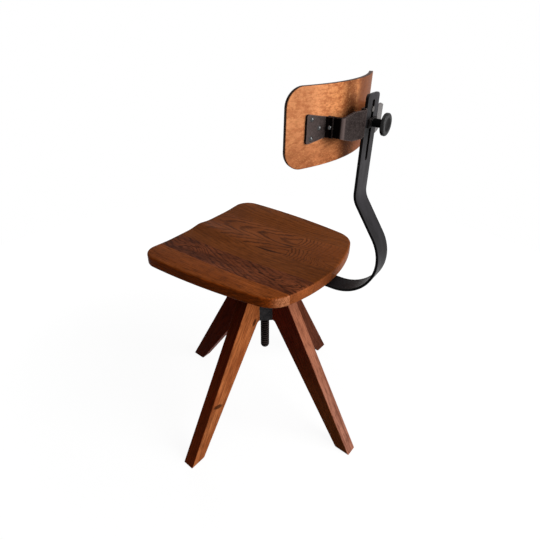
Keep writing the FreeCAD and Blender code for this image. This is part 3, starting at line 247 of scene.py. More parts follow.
def build_rings():
    """Distance from a pith that runs along Y: the root of across squared plus depth
    squared, plus the swell. Across drifts with Y and is folded halfway to a twin
    pith, and depth grows both ways from a crest on Y. Noises move both. The line is
    the dark end of each ring width, and the year a random share for each ring."""
    inputs = [("Vector", VECTOR)] + [(label, FLOAT) for label in RING_INPUTS]
    tree, given, out = new_group("growth_rings", inputs, [("Line", FLOAT), ("Year", FLOAT)])

    def noises(scale, roughness):
        """Three noises at once, from the channels of a coloured one."""
        colour = noise_on(tree, given["Vector"], scale, 2.0, roughness, "Color")
        return add(tree, "ShaderNodeSeparateColor", i0=colour).outputs

    slow = noises((9.0, 2.6, 9.0), 0.45)
    quick = noises((80.0, 22.0, 80.0), 0.5)
    jagged = noises((330.0, 60.0, 330.0), 0.6)
    parts = parts_of(tree, given["Vector"])

    def strayed(value, channel):
        """The value moved by the noises, each centred on zero."""
        far = times(tree, less(tree, slow[channel], 0.5), given["Wander"])
        close = times(tree, less(tree, quick[channel], 0.5), given["Ripple"])
        most = times(tree, given["Ring Width"], JAGGEDNESS)
        fine = times(tree, less(tree, jagged[channel], 0.5), most)
        return sum_of(tree, sum_of(tree, value, far), sum_of(tree, close, fine))

    def climbed(from_crest, climb):
        return times(tree, calculate(tree, "MAXIMUM", from_crest, 0.0), given[climb])

    middle = sum_of(tree, given["Pith Across"], times(tree, parts["Y"], given["Drift"]))
    halfway = times(tree, given["Twin"], 0.5)
    strayed_across = strayed(less(tree, parts["X"], middle), 0)
    fold = calculate(tree, "ABSOLUTE", less(tree, strayed_across, halfway))
    across = less(tree, fold, halfway)
    before = climbed(less(tree, given["Crest"], parts["Y"]), "Climb Before")
    after = climbed(less(tree, parts["Y"], given["Crest"]), "Climb After")
    height = less(tree, parts["Z"], given["Pith Height"])
    depth = strayed(sum_of(tree, height, sum_of(tree, before, after)), 1)
    squared = sum_of(tree, times(tree, across, across), times(tree, depth, depth))
    pushed = sum_of(tree, calculate(tree, "SQRT", squared), given["Swell"])
    count = calculate(tree, "DIVIDE", pushed, given["Ring Width"])
    share = calculate(tree, "FRACT", count)
    rise = step_between(tree, share, *LINE_RISES)
    fall = step_between(tree, share, *LINE_FALLS, 1.0, 0.0)
    tree.links.new(times(tree, rise, fall), out["Line"])
    ring = calculate(tree, "FLOOR", count)
    year = add(tree, "ShaderNodeTexWhiteNoise", {"noise_dimensions": "1D"}, W=ring)
    tree.links.new(year.outputs["Value"], out["Year"])
    return tree


swell = build_swell()
growth_rings = build_rings()
print("groups", swell.name, growth_rings.name, "with", len(growth_rings.nodes), "nodes")

# %% [markdown]
# ## Fibres and pores
# Close up, timber is a bundle of tubes. They show as fine streaks along the
# board, and where a saw opened them as short dark dashes. Both are noise that
# is stretched along the grain: the streaks stay soft, and the dashes are what
# is left of the noise above a threshold.


# %% Fibres and pores, as a group
STREAKS_DRAWN, PORES_DRAWN = (420.0, 9.0, 420.0), (900.0, 55.0, 900.0)
CLOUDS_DRAWN = (26.0, 7.0, 26.0)
PORE_STARTS, PORE_FULL, PORE_RANGE = 0.75, 0.78, 0.35


def build_fibres():
    """Noise drawn out along Y: soft streaks, dashes where a finer one runs high, and a
    broad cloud. Fineness scales the first two."""
    inputs = [("Vector", VECTOR), ("Fineness", FLOAT), ("Pore Share", FLOAT)]
    outputs = [("Streak", FLOAT), ("Pore", FLOAT), ("Cloud", FLOAT)]
    tree, given, out = new_group("wood_fibres", inputs, outputs)
    drawn = scaled_by(tree, given["Vector"], given["Fineness"])
    streak = noise_on(tree, drawn, STREAKS_DRAWN, 4.0)
    dash = noise_on(tree, drawn, PORES_DRAWN, 2.0, 0.5)
    limit = less(tree, PORE_STARTS, times(tree, given["Pore Share"], PORE_RANGE))
    pore = add(tree, "ShaderNodeMapRange", Value=dash, From_Min=limit, From_Max=PORE_FULL)
    cloud = noise_on(tree, given["Vector"], CLOUDS_DRAWN, 3.0, 0.55)
    tree.links.new(streak, out["Streak"])
    tree.links.new(pore.outputs["Result"], out["Pore"])
    tree.links.new(cloud, out["Cloud"])
    return tree


wood_fibres = build_fibres()
print("group", wood_fibres.name, "with", len(wood_fibres.nodes), "nodes")

# %% [markdown]
# ## Worn edges and painted edge highlights
# Hands and trouser seams rub varnish and lacquer off edges first. The Bevel
# node gives the normal that a rounded edge would have. Where it leans away from
# the true normal there is an edge, and noise breaks that line up. On the legs the
# paler edges are partly painted highlight, and on the knob's rim wholly so.


# %% Worn edges and painted edge highlights, as a group
LEAN_STARTS, LEAN_FULL = 0.99, 0.82
PATCH_SCALE, PATCH_EDGES = 110.0, (0.35, 0.62)


def build_edges_worn_and_highlit():
    """Full where the true and the rounded normal differ, broken up by noise."""
    inputs = [("Vector", VECTOR), ("Reach", FLOAT), ("Patchiness", FLOAT)]
    tree, given, out = new_group("edges_worn_and_highlit", inputs, [("Wear_And_Highlight", FLOAT)])
    rounded = add(tree, "ShaderNodeBevel", {"samples": 6}, Radius=given["Reach"]).outputs[0]
    plain = add(tree, "ShaderNodeNewGeometry").outputs["Normal"]
    same = calculate_vector(tree, "DOT_PRODUCT", rounded, plain)
    edge = step_between(tree, same, LEAN_STARTS, LEAN_FULL)
    patches = noise_on(tree, given["Vector"], PATCH_SCALE, 4.0, 0.65)
    broken = step_between(tree, patches, *PATCH_EDGES)
    patchy = blend_numbers(tree, given["Patchiness"], 1.0, broken)
    tree.links.new(times(tree, edge, patchy), out["Wear_And_Highlight"])
    return tree


edges_worn_and_highlit = build_edges_worn_and_highlit()
print("group", edges_worn_and_highlit.name, "with", len(edges_worn_and_highlit.nodes), "nodes")

# %% [markdown]
# ## One recipe for every board
# A finished board is one shader fed by the groups: its ground colour shifts with
# cloudy noise, the ring lines and pores darken it, and a satin varnish lies on
# top. Only the colours, the place of the pith and the turn of the grain differ
# from board to board, so one function makes them all.


# %% The recipe for varnished wood
GLOSS, GLOSS_CHANGE = 0.40, 0.18
FACE_STARTS, FACE_FULL = 0.45, 0.85
FACE_CLOUD = 0.75
YEAR_TINT = 0.3
INK = 0.12
LEAST_LINE = 0.4
CALM_LOSS = 0.8
STREAK_INK, PORE_STRENGTH = 0.5, 0.5
DASHES_DRAWN, DASH_EDGES = (170, 40, 170), (0.50, 0.64)
KNOT_INK, KNOT_STRENGTH, KNOT_EDGES = 0.1, 0.85, (0.6, 1.1)
EDGE_REACH, EDGE_PATCHINESS, EDGE_PALENESS = 0.0022, 0.7, 1.6
GRAIN_DEPTH = 0.0004


def scaled_colour(colour, factor):
    return tuple(min(1.0, value * factor) for value in colour[:3])


def tinted(tree, colour, share, tint):
    """A colour multiplied by a tint where the share is one."""
    factor = blend_colours(tree, share, (1.0, 1.0, 1.0), tint)
    return calculate_vector(tree, "MULTIPLY", colour, factor)


def varnished_wood(name, pale, dark, pith, climb, ring, wander, line, pore, streaks, flecks,
                   turn=(0, 0, 0), twin=1.0, crest=0.0, drift=0.0, ripple=0.002, swells=(),
                   edge_rub_and_highlight=0.3, shine=0.015, faces=(), marks=(), calm=(), along=None):
    """Grain along Y after the turn. line is how strong the rings show. A swell is a
    place, its half sizes and a height. A face is a direction in the turned frame, the
    colour of what faces that way and the share of the figure it shows. A mark is a
    knot: its place, half sizes and tilt. flecks are dark dashes: their share and tilt.
    calm is places, with half sizes, where the rings fade. along is where on Y the
    colour starts and ends to change, and what it and the faces' are multiplied by."""
    material, tree, shader = new_finish(name)
    coordinates = add(tree, "ShaderNodeTexCoord").outputs
    laid = mapped(tree, coordinates["Object"], Rotation=turn)
    facing = mapped(tree, coordinates["Normal"], "VECTOR", Rotation=turn)

    def hill(place, half):
        return use_group(tree, swell, Vector=laid, Place=place, Half_Size=half)["Hill"]

    pushed = 0.0
    for place, half, height in swells:
        pushed = sum_of(tree, pushed, times(tree, hill(place, half), height))
    rings = use_group(
        tree, growth_rings, Vector=laid, Pith_Across=pith[0], Pith_Height=pith[1], Twin=twin,
        Crest=crest, Climb_Before=climb[0], Climb_After=climb[1], Drift=drift, Ring_Width=ring,
        Wander=wander, Ripple=ripple, Swell=pushed,
    )
    fibres = use_group(tree, wood_fibres, Vector=laid, Fineness=1.0, Pore_Share=pore)
    streak = step_between(tree, fibres["Streak"], 0.34, 0.66)
    cloud = step_between(tree, fibres["Cloud"], 0.3, 0.7)

    # The ground: two tones by cloud, changed along the board and by face
    colour = blend_colours(tree, cloud, pale, dark)
    lowness = 0.0
    if along is not None:
        start, end, tint, faces_tint = along
        lowness = step_between(tree, parts_of(tree, laid)["Y"], start, end)
        colour = tinted(tree, colour, lowness, tint)
    figure = 1.0
    for direction, tone, shown in faces:
        same = calculate_vector(tree, "DOT_PRODUCT", facing, direction)
        turned = step_between(tree, same, FACE_STARTS, FACE_FULL)
        toned = blend_colours(tree, cloud, tone, scaled_colour(tone, FACE_CLOUD))
        if along is not None:
            toned = tinted(tree, toned, lowness, faces_tint)
        colour = blend_colours(tree, turned, colour, toned)
        figure = times(tree, figure, less(tree, 1.0, times(tree, turned, 1.0 - shown)))

    # The figure: rings of unlike strength, then streaks, flecks and pores
    ink = scaled_colour(dark, INK)
    colour = blend_colours(tree, times(tree, rings["Year"], YEAR_TINT * line), colour, dark)
    strength = sum_of(tree, LEAST_LINE, times(tree, rings["Year"], 1.0 - LEAST_LINE))
    strong = times(tree, rings["Line"], strength)
    for place, half in calm:
        strong = times(tree, strong, less(tree, 1.0, times(tree, hill(place, half), CALM_LOSS)))
    thin = step_between(tree, fibres["Cloud"], 0.66, 0.52, 0.5, 1.0)
    broken = times(tree, times(tree, strong, thin), sum_of(tree, 0.6, times(tree, streak, 0.4)))
    colour = blend_colours(tree, times(tree, broken, times(tree, figure, line)), colour, ink)
    drawn = times(tree, streak, streaks)
    colour = blend_colours(tree, drawn, colour, scaled_colour(dark, STREAK_INK))
    share, tilt = flecks
    tilted = mapped(tree, laid, Rotation=(0, 0, math.radians(tilt)), Scale=DASHES_DRAWN)
    dash = step_between(tree, noise_on(tree, tilted, 1.0, 2.5), *DASH_EDGES, 0.0, share)
    colour = blend_colours(tree, times(tree, dash, figure), colour, ink)
    colour = blend_colours(tree, times(tree, fibres["Pore"], PORE_STRENGTH), colour, ink)
    for place, half, tilt in marks:
        offset = calculate_vector(tree, "SUBTRACT", laid, place)
        tilted = mapped(tree, offset, Rotation=(0, 0, math.radians(tilt)))
        far = calculate_vector(tree, "LENGTH", calculate_vector(tree, "DIVIDE", tilted, half))
        noise = noise_on(tree, laid, 90.0, 3.0, 0.5)
        ragged = sum_of(tree, far, less(tree, noise, 0.5))
        knot = step_between(tree, ragged, *KNOT_EDGES, KNOT_STRENGTH, 0.0)
        colour = blend_colours(tree, knot, colour, scaled_colour(dark, KNOT_INK))
    edge = use_group(
        tree, edges_worn_and_highlit, Vector=laid, Reach=EDGE_REACH, Patchiness=EDGE_PATCHINESS
    )["Wear_And_Highlight"]
    # Paler edges: wear, and on the legs partly painted highlight.
    rubbed = scaled_colour(pale, EDGE_PALENESS)
    colour = blend_colours(tree, times(tree, edge, edge_rub_and_highlight), colour, rubbed)
    tree.links.new(colour, shader.inputs["Base Color"])

    rough = sum_of(tree, GLOSS, times(tree, less(tree, fibres["Streak"], 0.5), GLOSS_CHANGE))
    tree.links.new(rough, shader.inputs["Roughness"])
    dents = sum_of(tree, fibres["Pore"], times(tree, rings["Line"], 0.4))
    relief = less(tree, times(tree, fibres["Streak"], 0.5), dents)
    bump = add(tree, "ShaderNodeBump", Strength=0.22, Distance=GRAIN_DEPTH, Height=relief)
    tree.links.new(bump.outputs["Normal"], shader.inputs["Normal"])
    shader.inputs["Specular IOR Level"].default_value = shine
    return material


# %% [markdown]
# ## The seat
# Five boards of uneven width are glued edge to edge and then carved into a
# saddle, stained and varnished. The near board is straight-grained and light,
# its neighbour dark and lively, with slanting grain, dark dashes and two loops.
# The wide middle one shows long arches that point forward, closed loops near
# its rear end and a dark streak. Each board came from another part of a tree,
# so each gets a pith of its own, below or beside it. The sawn rims have colours
# of their own, from light on the near board to dark on the far one. The boards
# run along Y, so no turn.

# %% Seat boards
LEFT, REAR = (1.0, 0.0, 0.0), (0.0, 1.0, 0.0)
SEAT_BOARDS = [
    dict(name="seat_wood_near", pale=(0.520, 0.133, 0.029), dark=(0.330, 0.078, 0.015),
         faces=((LEFT, (0.58, 0.100, 0.010), 0.7), (REAR, (0.98, 0.375, 0.170), 0.4)),
         pith=(-0.10, 0.40), climb=(0.0, 0.01), ring=0.0042, wander=0.012, line=0.75,
         pore=0.7, streaks=0.65, flecks=(0.35, 0)),
    dict(name="seat_wood_plum", pale=(0.370, 0.100, 0.036), dark=(0.150, 0.037, 0.013),
         faces=((REAR, (0.56, 0.155, 0.044), 0.25),), pith=(-0.25, 0.50), drift=0.40,
         climb=(0.0, 0.0), ring=0.0125, wander=0.05, ripple=0.014,
         swells=(
             ((0.101, 0.152, 0.54), (0.013, 0.032, 0.1), 0.050),
             ((0.110, -0.150, 0.54), (0.016, 0.030, 0.1), 0.040),
         ),
         line=1.0, pore=0.9, streaks=0.3, flecks=(0.6, 24)),
    dict(name="seat_wood_flank", pale=(0.330, 0.094, 0.023), dark=(0.250, 0.067, 0.015),
         faces=((REAR, (0.52, 0.140, 0.042), 0.3),), pith=(-0.020, 0.515), drift=0.10,
         climb=(0.10, 0.06), ring=0.0080, wander=0.03, ripple=0.008, line=0.5, pore=0.6,
         streaks=0.35, flecks=(0.25, 24)),
    dict(name="seat_wood_flame", pale=(0.365, 0.101, 0.025), dark=(0.250, 0.064, 0.014),
         faces=((REAR, (0.33, 0.100, 0.036), 0.3),), pith=(-0.075, 0.5035), twin=0.079, crest=0.055,
         climb=(0.12, 0.75), drift=-0.097, ring=0.0078, wander=0.026, ripple=0.007,
         swells=(((-0.022, 0.160, 0.54), (0.012, 0.030, 0.1), 0.030),), line=1.0, pore=0.5,
         streaks=0.35, flecks=(0.2, -10), calm=(
             ((-0.080, 0.190, 0.54), (0.055, 0.060, 0.1)),
             ((0.020, 0.200, 0.54), (0.025, 0.050, 0.1)),
         ),
         marks=(((0.004, 0.012, 0.54), (0.0045, 0.055, 0.1), -7),)),
    dict(name="seat_wood_far", pale=(0.300, 0.083, 0.018), dark=(0.215, 0.058, 0.013),
         faces=((REAR, (0.22, 0.067, 0.026), 0.5),), pith=(-0.205, 0.505), climb=(0.10, 0.07),
         crest=0.03, ring=0.0070, wander=0.02, ripple=0.004, line=0.55, pore=0.5,
         streaks=0.4, flecks=(0.2, -6)),
]
for number, board in enumerate(SEAT_BOARDS, start=1):
    dress(varnished_wood(**board), "seat_stave_%d" % number)

# %% [markdown]
# ## The legs
# Each leg is one straight timber, sawn with the grain along its length and
# splayed outwards. The recipe runs its grain along Y, so the mapping first turns
# the leg upright about the spindle's axis and then lays it along Y. There X
# points away from the spindle, so the outer face has a colour of its own: painted
# shade on the leg to the sitter's left, painted light on the rear leg. Each leg's
# tones are lit and shaded copies of one wood, painted lighter or darker as light
# falls on that leg. The colour changes from the seat to the foot: painted light
# that brightens the lower leg.

# %% Legs
BASE_TURN = -4.5
FOOT_SPREAD, LEG_DROP = 0.244, 0.448
LEG_LEAN = math.atan2(FOOT_SPREAD, LEG_DROP)
OUTWARD = (1.0, 0.0, 0.0)
LEG_MIDDLE = 0.262
NEAR_SEAT, NEAR_FOOT = 0.27, -0.08
UNCHANGED = (1.0, 1.0, 1.0)
KNOTS = (
    ((0.258, 0.027, -0.017), (0.021, 0.0075, 0.03), 4),
    ((0.221, 0.274, -0.017), (0.007, 0.014, 0.03), 0),
)
# Painted light and shade: each leg's pale and dark are lit or shaded copies of one wood, outer is
# painted shade on leg_left and painted light on leg_rear, and the foot tints brighten the foot as
# painted light.
LEGS = [
    dict(name="leg_left", quarter=0, pale=(0.85, 0.272, 0.084), dark=(0.41, 0.102, 0.028),
         outer=(0.155, 0.010, 0.003), pith=(0.012, 0.020), marks=KNOTS,
         foot_painted_light=(1.2, 1.35, 1.5), outer_foot_painted_light=(2.1, 4.0, 3.0)),
    dict(name="leg_rear", quarter=90, pale=(0.35, 0.062, 0.030), dark=(0.26, 0.042, 0.018),
         outer=(0.55, 0.208, 0.112), pith=(-0.03, 0.010),
         foot_painted_light=(1.7, 2.7, 1.4), outer_foot_painted_light=(1.07, 1.23, 1.5)),
    dict(name="leg_right", quarter=180, pale=(0.19, 0.053, 0.027), dark=(0.12, 0.031, 0.013),
         outer=(0.18, 0.051, 0.034), pith=(0.02, -0.03)),
    dict(name="leg_front", quarter=270, pale=(0.29, 0.037, 0.009), dark=(0.20, 0.025, 0.005),
         outer=(0.25, 0.031, 0.007), pith=(-0.01, 0.03)),
]


def leg_finish(name, quarter, pale, dark, outer, pith, marks=(), foot_painted_light=UNCHANGED,
               outer_foot_painted_light=UNCHANGED):
    """The recipe laid along a leg that stands some quarter turn round the spindle."""
    upright = Matrix.Rotation(-math.radians(BASE_TURN + quarter), 3, "Z")
    straight = Matrix.Rotation(LEG_LEAN, 3, "Y")
    laid_down = Matrix.Rotation(math.radians(-90), 3, "X")
    grain_turn = (laid_down @ straight @ upright).to_euler("XYZ")
    # The legs' strongly paled edges are partly wear and partly painted highlight.
    return varnished_wood(
        name + "_wood", pale, dark, pith=(LEG_MIDDLE + pith[0], pith[1]), climb=(0.03, 0.03),
        ring=0.0052, wander=0.014, ripple=0.0015, line=0.55, pore=0.6, streaks=0.4,
        flecks=(0.3, 0), turn=tuple(grain_turn), edge_rub_and_highlight=0.7, shine=0.005,
        faces=((OUTWARD, outer, 1.0),), marks=marks,
        along=(NEAR_SEAT, NEAR_FOOT, foot_painted_light, outer_foot_painted_light),
    )


for leg in LEGS:
    dress(leg_finish(**leg), leg["name"])

# %% [markdown]
# ## Bent plywood
# The backrest is thin veneers glued over a former. Its faces show one veneer,
# cloudy and fine-grained, and only the edge shows the layers, dark where the
# stain soaked into the end grain. Every point knows its distance from the bend's
# centre, so the same graph gives the veneer on the faces and the stripes of the
# layers on the edge. The back is lighter towards one end, darker towards the
# other and towards the bottom, and has a dark band behind the post that is partly
# a stain and partly painted shadow of the post and strap, each blended over the
# one before.

# %% Backrest veneer
LEAN = math.radians(1.0)
PIVOT = Vector((0.0, 0.2445, 0.893))
POST_FACE_Y, BRACKET_DEPTH, BEND_RADIUS = 0.2415, 0.033, 0.354
PLY_THICKNESS = 0.009
EDGE_ROUND = 0.0007
LAYER = 0.0015
BEND_CENTRE_Y = POST_FACE_Y - BRACKET_DEPTH - BEND_RADIUS
BEND_MIDDLE = BEND_RADIUS - PLY_THICKNESS / 2
HALF_FACE = PLY_THICKNESS / 2 - EDGE_ROUND
SOFTNESS, MIDDLE_SOFTNESS = 0.0003, 0.002
# Places round the bend where the back grows lighter towards the near end and darker towards the far
# end.
LIGHTER_END, FAR_END = (0.05, 0.12), (0.0, -0.03)
# Sides of the dark band behind the post: partly a stain, partly painted shadow of the post and strap.
POST_SHADOW_AND_STAIN_SIDES = ((-0.018, 0.012), (0.058, 0.022))
BROWN_HEIGHTS = (0.925, 0.855)
WAVER, UNEVENNESS = 0.018, 0.06
VENEER = ((0.84, 0.330, 0.120), (0.46, 0.140, 0.047))
# Tones of the back: lighter towards the near end, darker towards the bottom and towards the far end.
NEAR_END_TONES = ((0.94, 0.385, 0.168), (0.72, 0.258, 0.104))
LOWER_TONES = ((0.50, 0.158, 0.058), (0.28, 0.084, 0.030))
FAR_END_TONE = (0.155, 0.045, 0.016)
# Tone of that band: partly a stain, partly painted shadow.
POST_SHADOW_AND_STAIN_TONE = (0.12, 0.030, 0.008)
DULLED = (0.33, 0.10, 0.036)
GRIT = (0.36, 0.115, 0.042)
GLINT = (0.92, 0.42, 0.16)
FLECK = (0.28, 0.082, 0.028)
PORE = (0.20, 0.06, 0.025)
LAYERS = ((0.075, 0.030, 0.018), (0.028, 0.012, 0.008))


def leaned_coordinates(tree):
    """Object coordinates with the post's lean taken out, about its pivot."""
    unlean = Matrix.Rotation(LEAN, 3, "X")
    shift = PIVOT - unlean @ PIVOT
    place = add(tree, "ShaderNodeTexCoord").outputs["Object"]
    return mapped(tree, place, Location=tuple(shift), Rotation=(LEAN, 0, 0))


def bent_ply():
    material, tree, shader = new_finish("bent_ply")
    parts = parts_of(tree, leaned_coordinates(tree))
    away = less(tree, parts["Y"], BEND_CENTRE_Y)
    squared = sum_of(tree, times(tree, parts["X"], parts["X"]), times(tree, away, away))
    reach = calculate(tree, "SQRT", squared)
    around = times(tree, calculate(tree, "ARCTAN2", parts["X"], away), BEND_MIDDLE)
    flat = add(tree, "ShaderNodeCombineXYZ", X=parts["Z"], Y=around, Z=reach).outputs[0]

    blotch = noise_on(tree, flat, (140.0, 62.0, 1.0), 6.0, 0.74)
    bands = noise_on(tree, flat, (2.0, 22.0, 1.0), 2.0, 0.5)
    grit = noise_on(tree, flat, 260.0, 3.0, 0.7)
    flecks = noise_on(tree, flat, (330.0, 90.0, 1.0))
    glints = noise_on(tree, flat, (420.0, 190.0, 1.0))
    fibres = use_group(tree, wood_fibres, Vector=flat, Fineness=0.8, Pore_Share=0.3)
    patches = step_between(tree, blotch, 0.42, 0.60)

    # Tones on the back face, by metres round the bend from its middle and by height.
    # The dark band behind the post is partly a stain and partly painted shadow of
    # the post and strap.
    middle = (BEND_MIDDLE - MIDDLE_SOFTNESS, BEND_MIDDLE + MIDDLE_SOFTNESS)
    behind = step_between(tree, reach, *middle)
    wavering = sum_of(tree, around, times(tree, less(tree, bands, 0.5), WAVER))
    near_end = times(tree, behind, step_between(tree, around, *LIGHTER_END))
    height = sum_of(tree, parts["Z"], times(tree, blotch, UNEVENNESS))
    low = times(tree, behind, step_between(tree, height, *BROWN_HEIGHTS))
    far_end = times(tree, behind, step_between(tree, wavering, *FAR_END))
    one_side, other_side = (step_between(tree, wavering, *side) for side in POST_SHADOW_AND_STAIN_SIDES)
    post_shadow_and_stain = times(tree, behind, times(tree, one_side, other_side))

    colour = blend_colours(tree, patches, *VENEER)
    for share, strength, tone in (
        (near_end, 0.75, blend_colours(tree, patches, *NEAR_END_TONES)),
        (low, 0.8, blend_colours(tree, patches, *LOWER_TONES)),
        (far_end, 0.95, FAR_END_TONE),
        # Partly a stain, partly painted shadow of the post and strap.
        (post_shadow_and_stain, 0.78, POST_SHADOW_AND_STAIN_TONE),
        (step_between(tree, bands, 0.5, 0.72), 0.35, DULLED),
        (step_between(tree, grit, 0.45, 0.7), 0.25, GRIT),
        (step_between(tree, glints, 0.52, 0.68), less(tree, 0.35, times(tree, far_end, 0.28)), GLINT),
        (step_between(tree, flecks, 0.48, 0.66), 0.22, FLECK),
        (fibres["Pore"], 0.12, PORE),
    ):
        colour = blend_colours(tree, times(tree, share, strength), colour, tone)

    share = calculate(tree, "FRACT", times(tree, reach, 1 / LAYER))
    layers = blend_colours(tree, step_between(tree, share, 0.35, 0.65), *LAYERS)
    inside = calculate(tree, "ABSOLUTE", less(tree, reach, BEND_MIDDLE))
    edge = step_between(tree, inside, HALF_FACE + SOFTNESS, HALF_FACE - SOFTNESS)
    colour = blend_colours(tree, edge, colour, layers)
    tree.links.new(colour, shader.inputs["Base Color"])
    rough = sum_of(tree, 0.42, times(tree, less(tree, grit, 0.5), 0.2))
    tree.links.new(rough, shader.inputs["Roughness"])
    bump = add(tree, "ShaderNodeBump", Strength=0.15, Distance=GRAIN_DEPTH, Height=grit)
    tree.links.new(bump.outputs["Normal"], shader.inputs["Normal"])
    shader.inputs["Specular IOR Level"].default_value = 0.02
    return material


dress(bent_ply(), "backrest_panel")

# %% [markdown]
# ## Dark metal
# The ironwork is blackened steel: brownish lacquer on the bracket, blued spring
# steel on the post, raw dark iron on the hub and spindle. They differ in colour,
# in how metallic they are and in grain, but are made alike: a mottled ground,
# fine grit that also dents the surface, and edges rubbed paler, which on the
# knob's rim is a painted highlight. The post is darker low down. The strap is
# painted lighter where it turns its corners, which is where the surface faces
# between two sides: a painted highlight with some rubbing. Painted shade darkens
# the recess between its corners and the panel, and the faces of the bracket and
# post square to X. The strap's lacquer gleams where it is seen edge-on.


# %% The recipe for dark metal
SPECK_GAIN = 1.9
CREST_EDGE = (0.0012, 0.0002)
CREST_RUB = 0.55
VALLEY = 0.2
CORNER_FULL, CORNER_HIGHLIGHT_SHARE = 0.99, 0.8
GLANCE_STARTS, GLANCE_FULL = 0.72, 0.92
SIDE_SHADE_STARTS, SIDE_SHADE_FULL = 0.9, 0.98
LACQUER_ROUGHNESS = 0.25
POLISH, POLISH_WIDTH, POLISH_ROUGHNESS = 0.3, 0.003, 0.12
RECESS_SHADE_EDGE = 0.002
GRIT_DEPTH = 0.0003


def dark_metal(name, ground, mottled, wear_and_highlight_tone, metallic=0.0, rough=0.42, grit_scale=700.0,
               grit_share=0.35, mottle_scale=60.0, edge_wear_and_highlight=0.6, reach=0.0012, specular=0.02,
               stretch=(1, 1, 1), dent=0.3, crest=None, fade=None, corner_highlight=None, glance=None,
               painted_side_shade=None, painted_recess_shade=None, rim=None):
    """Two colours mixed by broad noise, specked by fine noise, paler at the edges.
    crest is a radius about Z: what lies farther out is rubbed, what lies inside dark.
    fade is two heights and the share of the colour left at the lower one. corner is
    the direction that a bend faces, on either side, and how close counts: there a
    painted highlight, with some rubbing, lightens it. glance is how glossy the lacquer
    is where it is seen edge-on. flank is the share of the colour left on faces square
    to X, as painted shade. hollow is two depths on Y and the share of the colour left
    between them, as painted shade in the recess. rim is a radius about the clamp's
    axis: what lies farther out is polished."""
    material, tree, shader = new_finish(name)
    coordinates = add(tree, "ShaderNodeTexCoord").outputs
    place = coordinates["Object"]
    drawn = mapped(tree, place, Scale=stretch)
    broad = noise_on(tree, drawn, mottle_scale, 5.0)
    fine = noise_on(tree, drawn, grit_scale, 3.0, 0.7)
    colour = blend_colours(tree, step_between(tree, broad, 0.35, 0.68), ground, mottled)
    specks = times(tree, step_between(tree, fine, 0.42, 0.68), grit_share)
    colour = blend_colours(tree, specks, colour, scaled_colour(mottled, SPECK_GAIN))
    if fade is not None:
        low, high, left_low = fade
        left = step_between(tree, parts_of(tree, place)["Z"], low, high, left_low, 1.0)
        colour = scaled_by(tree, colour, left)
    if crest is not None:
        inner, outer = (crest - step for step in CREST_EDGE)
        outside = step_between(tree, radius_in(tree, place, (1, 1, 0)), inner, outer)
        rubbed = blend_colours(tree, CREST_RUB, colour, wear_and_highlight_tone)
        colour = blend_colours(tree, outside, scaled_colour(ground, VALLEY), rubbed)
    # Painted highlight, with some rubbing, on the strap's corner bends.
    if corner_highlight is not None:
        direction, close = corner_highlight
        mirrored = calculate_vector(tree, "ABSOLUTE", coordinates["Normal"])
        same = calculate_vector(tree, "DOT_PRODUCT", mirrored, direction)
        bend = times(tree, step_between(tree, same, close, CORNER_FULL), CORNER_HIGHLIGHT_SHARE)
        colour = blend_colours(tree, bend, colour, wear_and_highlight_tone)
    if glance is not None:
        edge_on = add(tree, "ShaderNodeLayerWeight", Blend=0.5).outputs["Facing"]
        coat = step_between(tree, edge_on, GLANCE_STARTS, GLANCE_FULL, 0.0, glance)
        tree.links.new(coat, shader.inputs["Coat Weight"])
        shader.inputs["Coat Roughness"].default_value = LACQUER_ROUGHNESS
    # Painted shade on the faces square to X.
    if painted_side_shade is not None:
        square = calculate(tree, "ABSOLUTE", parts_of(tree, coordinates["Normal"])["X"])
        left = step_between(tree, square, SIDE_SHADE_STARTS, SIDE_SHADE_FULL, 1.0, painted_side_shade)
        colour = scaled_by(tree, colour, left)
    if rim is not None:
        spread = calculate_vector(tree, "SUBTRACT", leaned_coordinates(tree), PIVOT)
        radius = radius_in(tree, spread, (1, 0, 1))
        polish = step_between(tree, radius, rim, rim + POLISH_WIDTH, 0.0, POLISH)
        tree.links.new(polish, shader.inputs["Coat Weight"])
        shader.inputs["Coat Roughness"].default_value = POLISH_ROUGHNESS
    # Paler edges: wear, and on the knob's rim a painted highlight.
    edge = use_group(tree, edges_worn_and_highlit, Vector=place, Reach=reach, Patchiness=0.5)["Wear_And_Highlight"]
    colour = blend_colours(tree, times(tree, edge, edge_wear_and_highlight), colour, wear_and_highlight_tone)
    # Painted shade in the recess between the strap and the panel.
    if painted_recess_shade is not None:
        near, far, left = painted_recess_shade
        depth = parts_of(tree, leaned_coordinates(tree))["Y"]
        begun = step_between(tree, depth, near, near + RECESS_SHADE_EDGE)
        ended = step_between(tree, depth, far, far - RECESS_SHADE_EDGE)
        lost = times(tree, times(tree, begun, ended), 1.0 - left)
        colour = scaled_by(tree, colour, less(tree, 1.0, lost))
    tree.links.new(colour, shader.inputs["Base Color"])
    duller = sum_of(tree, rough, times(tree, less(tree, broad, 0.5), 0.3))
    tree.links.new(duller, shader.inputs["Roughness"])
    bump = add(tree, "ShaderNodeBump", Strength=dent, Distance=GRIT_DEPTH, Height=fine)
    tree.links.new(bump.outputs["Normal"], shader.inputs["Normal"])
    shader.inputs["Metallic"].default_value = metallic
    shader.inputs["Specular IOR Level"].default_value = specular
    return material


# %% Bracket, post, hub, spindle and fixings
# The direction of the strap's corner bends, which get a painted highlight with some rubbing.
STRAP_CORNER = Vector((0.8, 0.6, 0.0)).normalized()
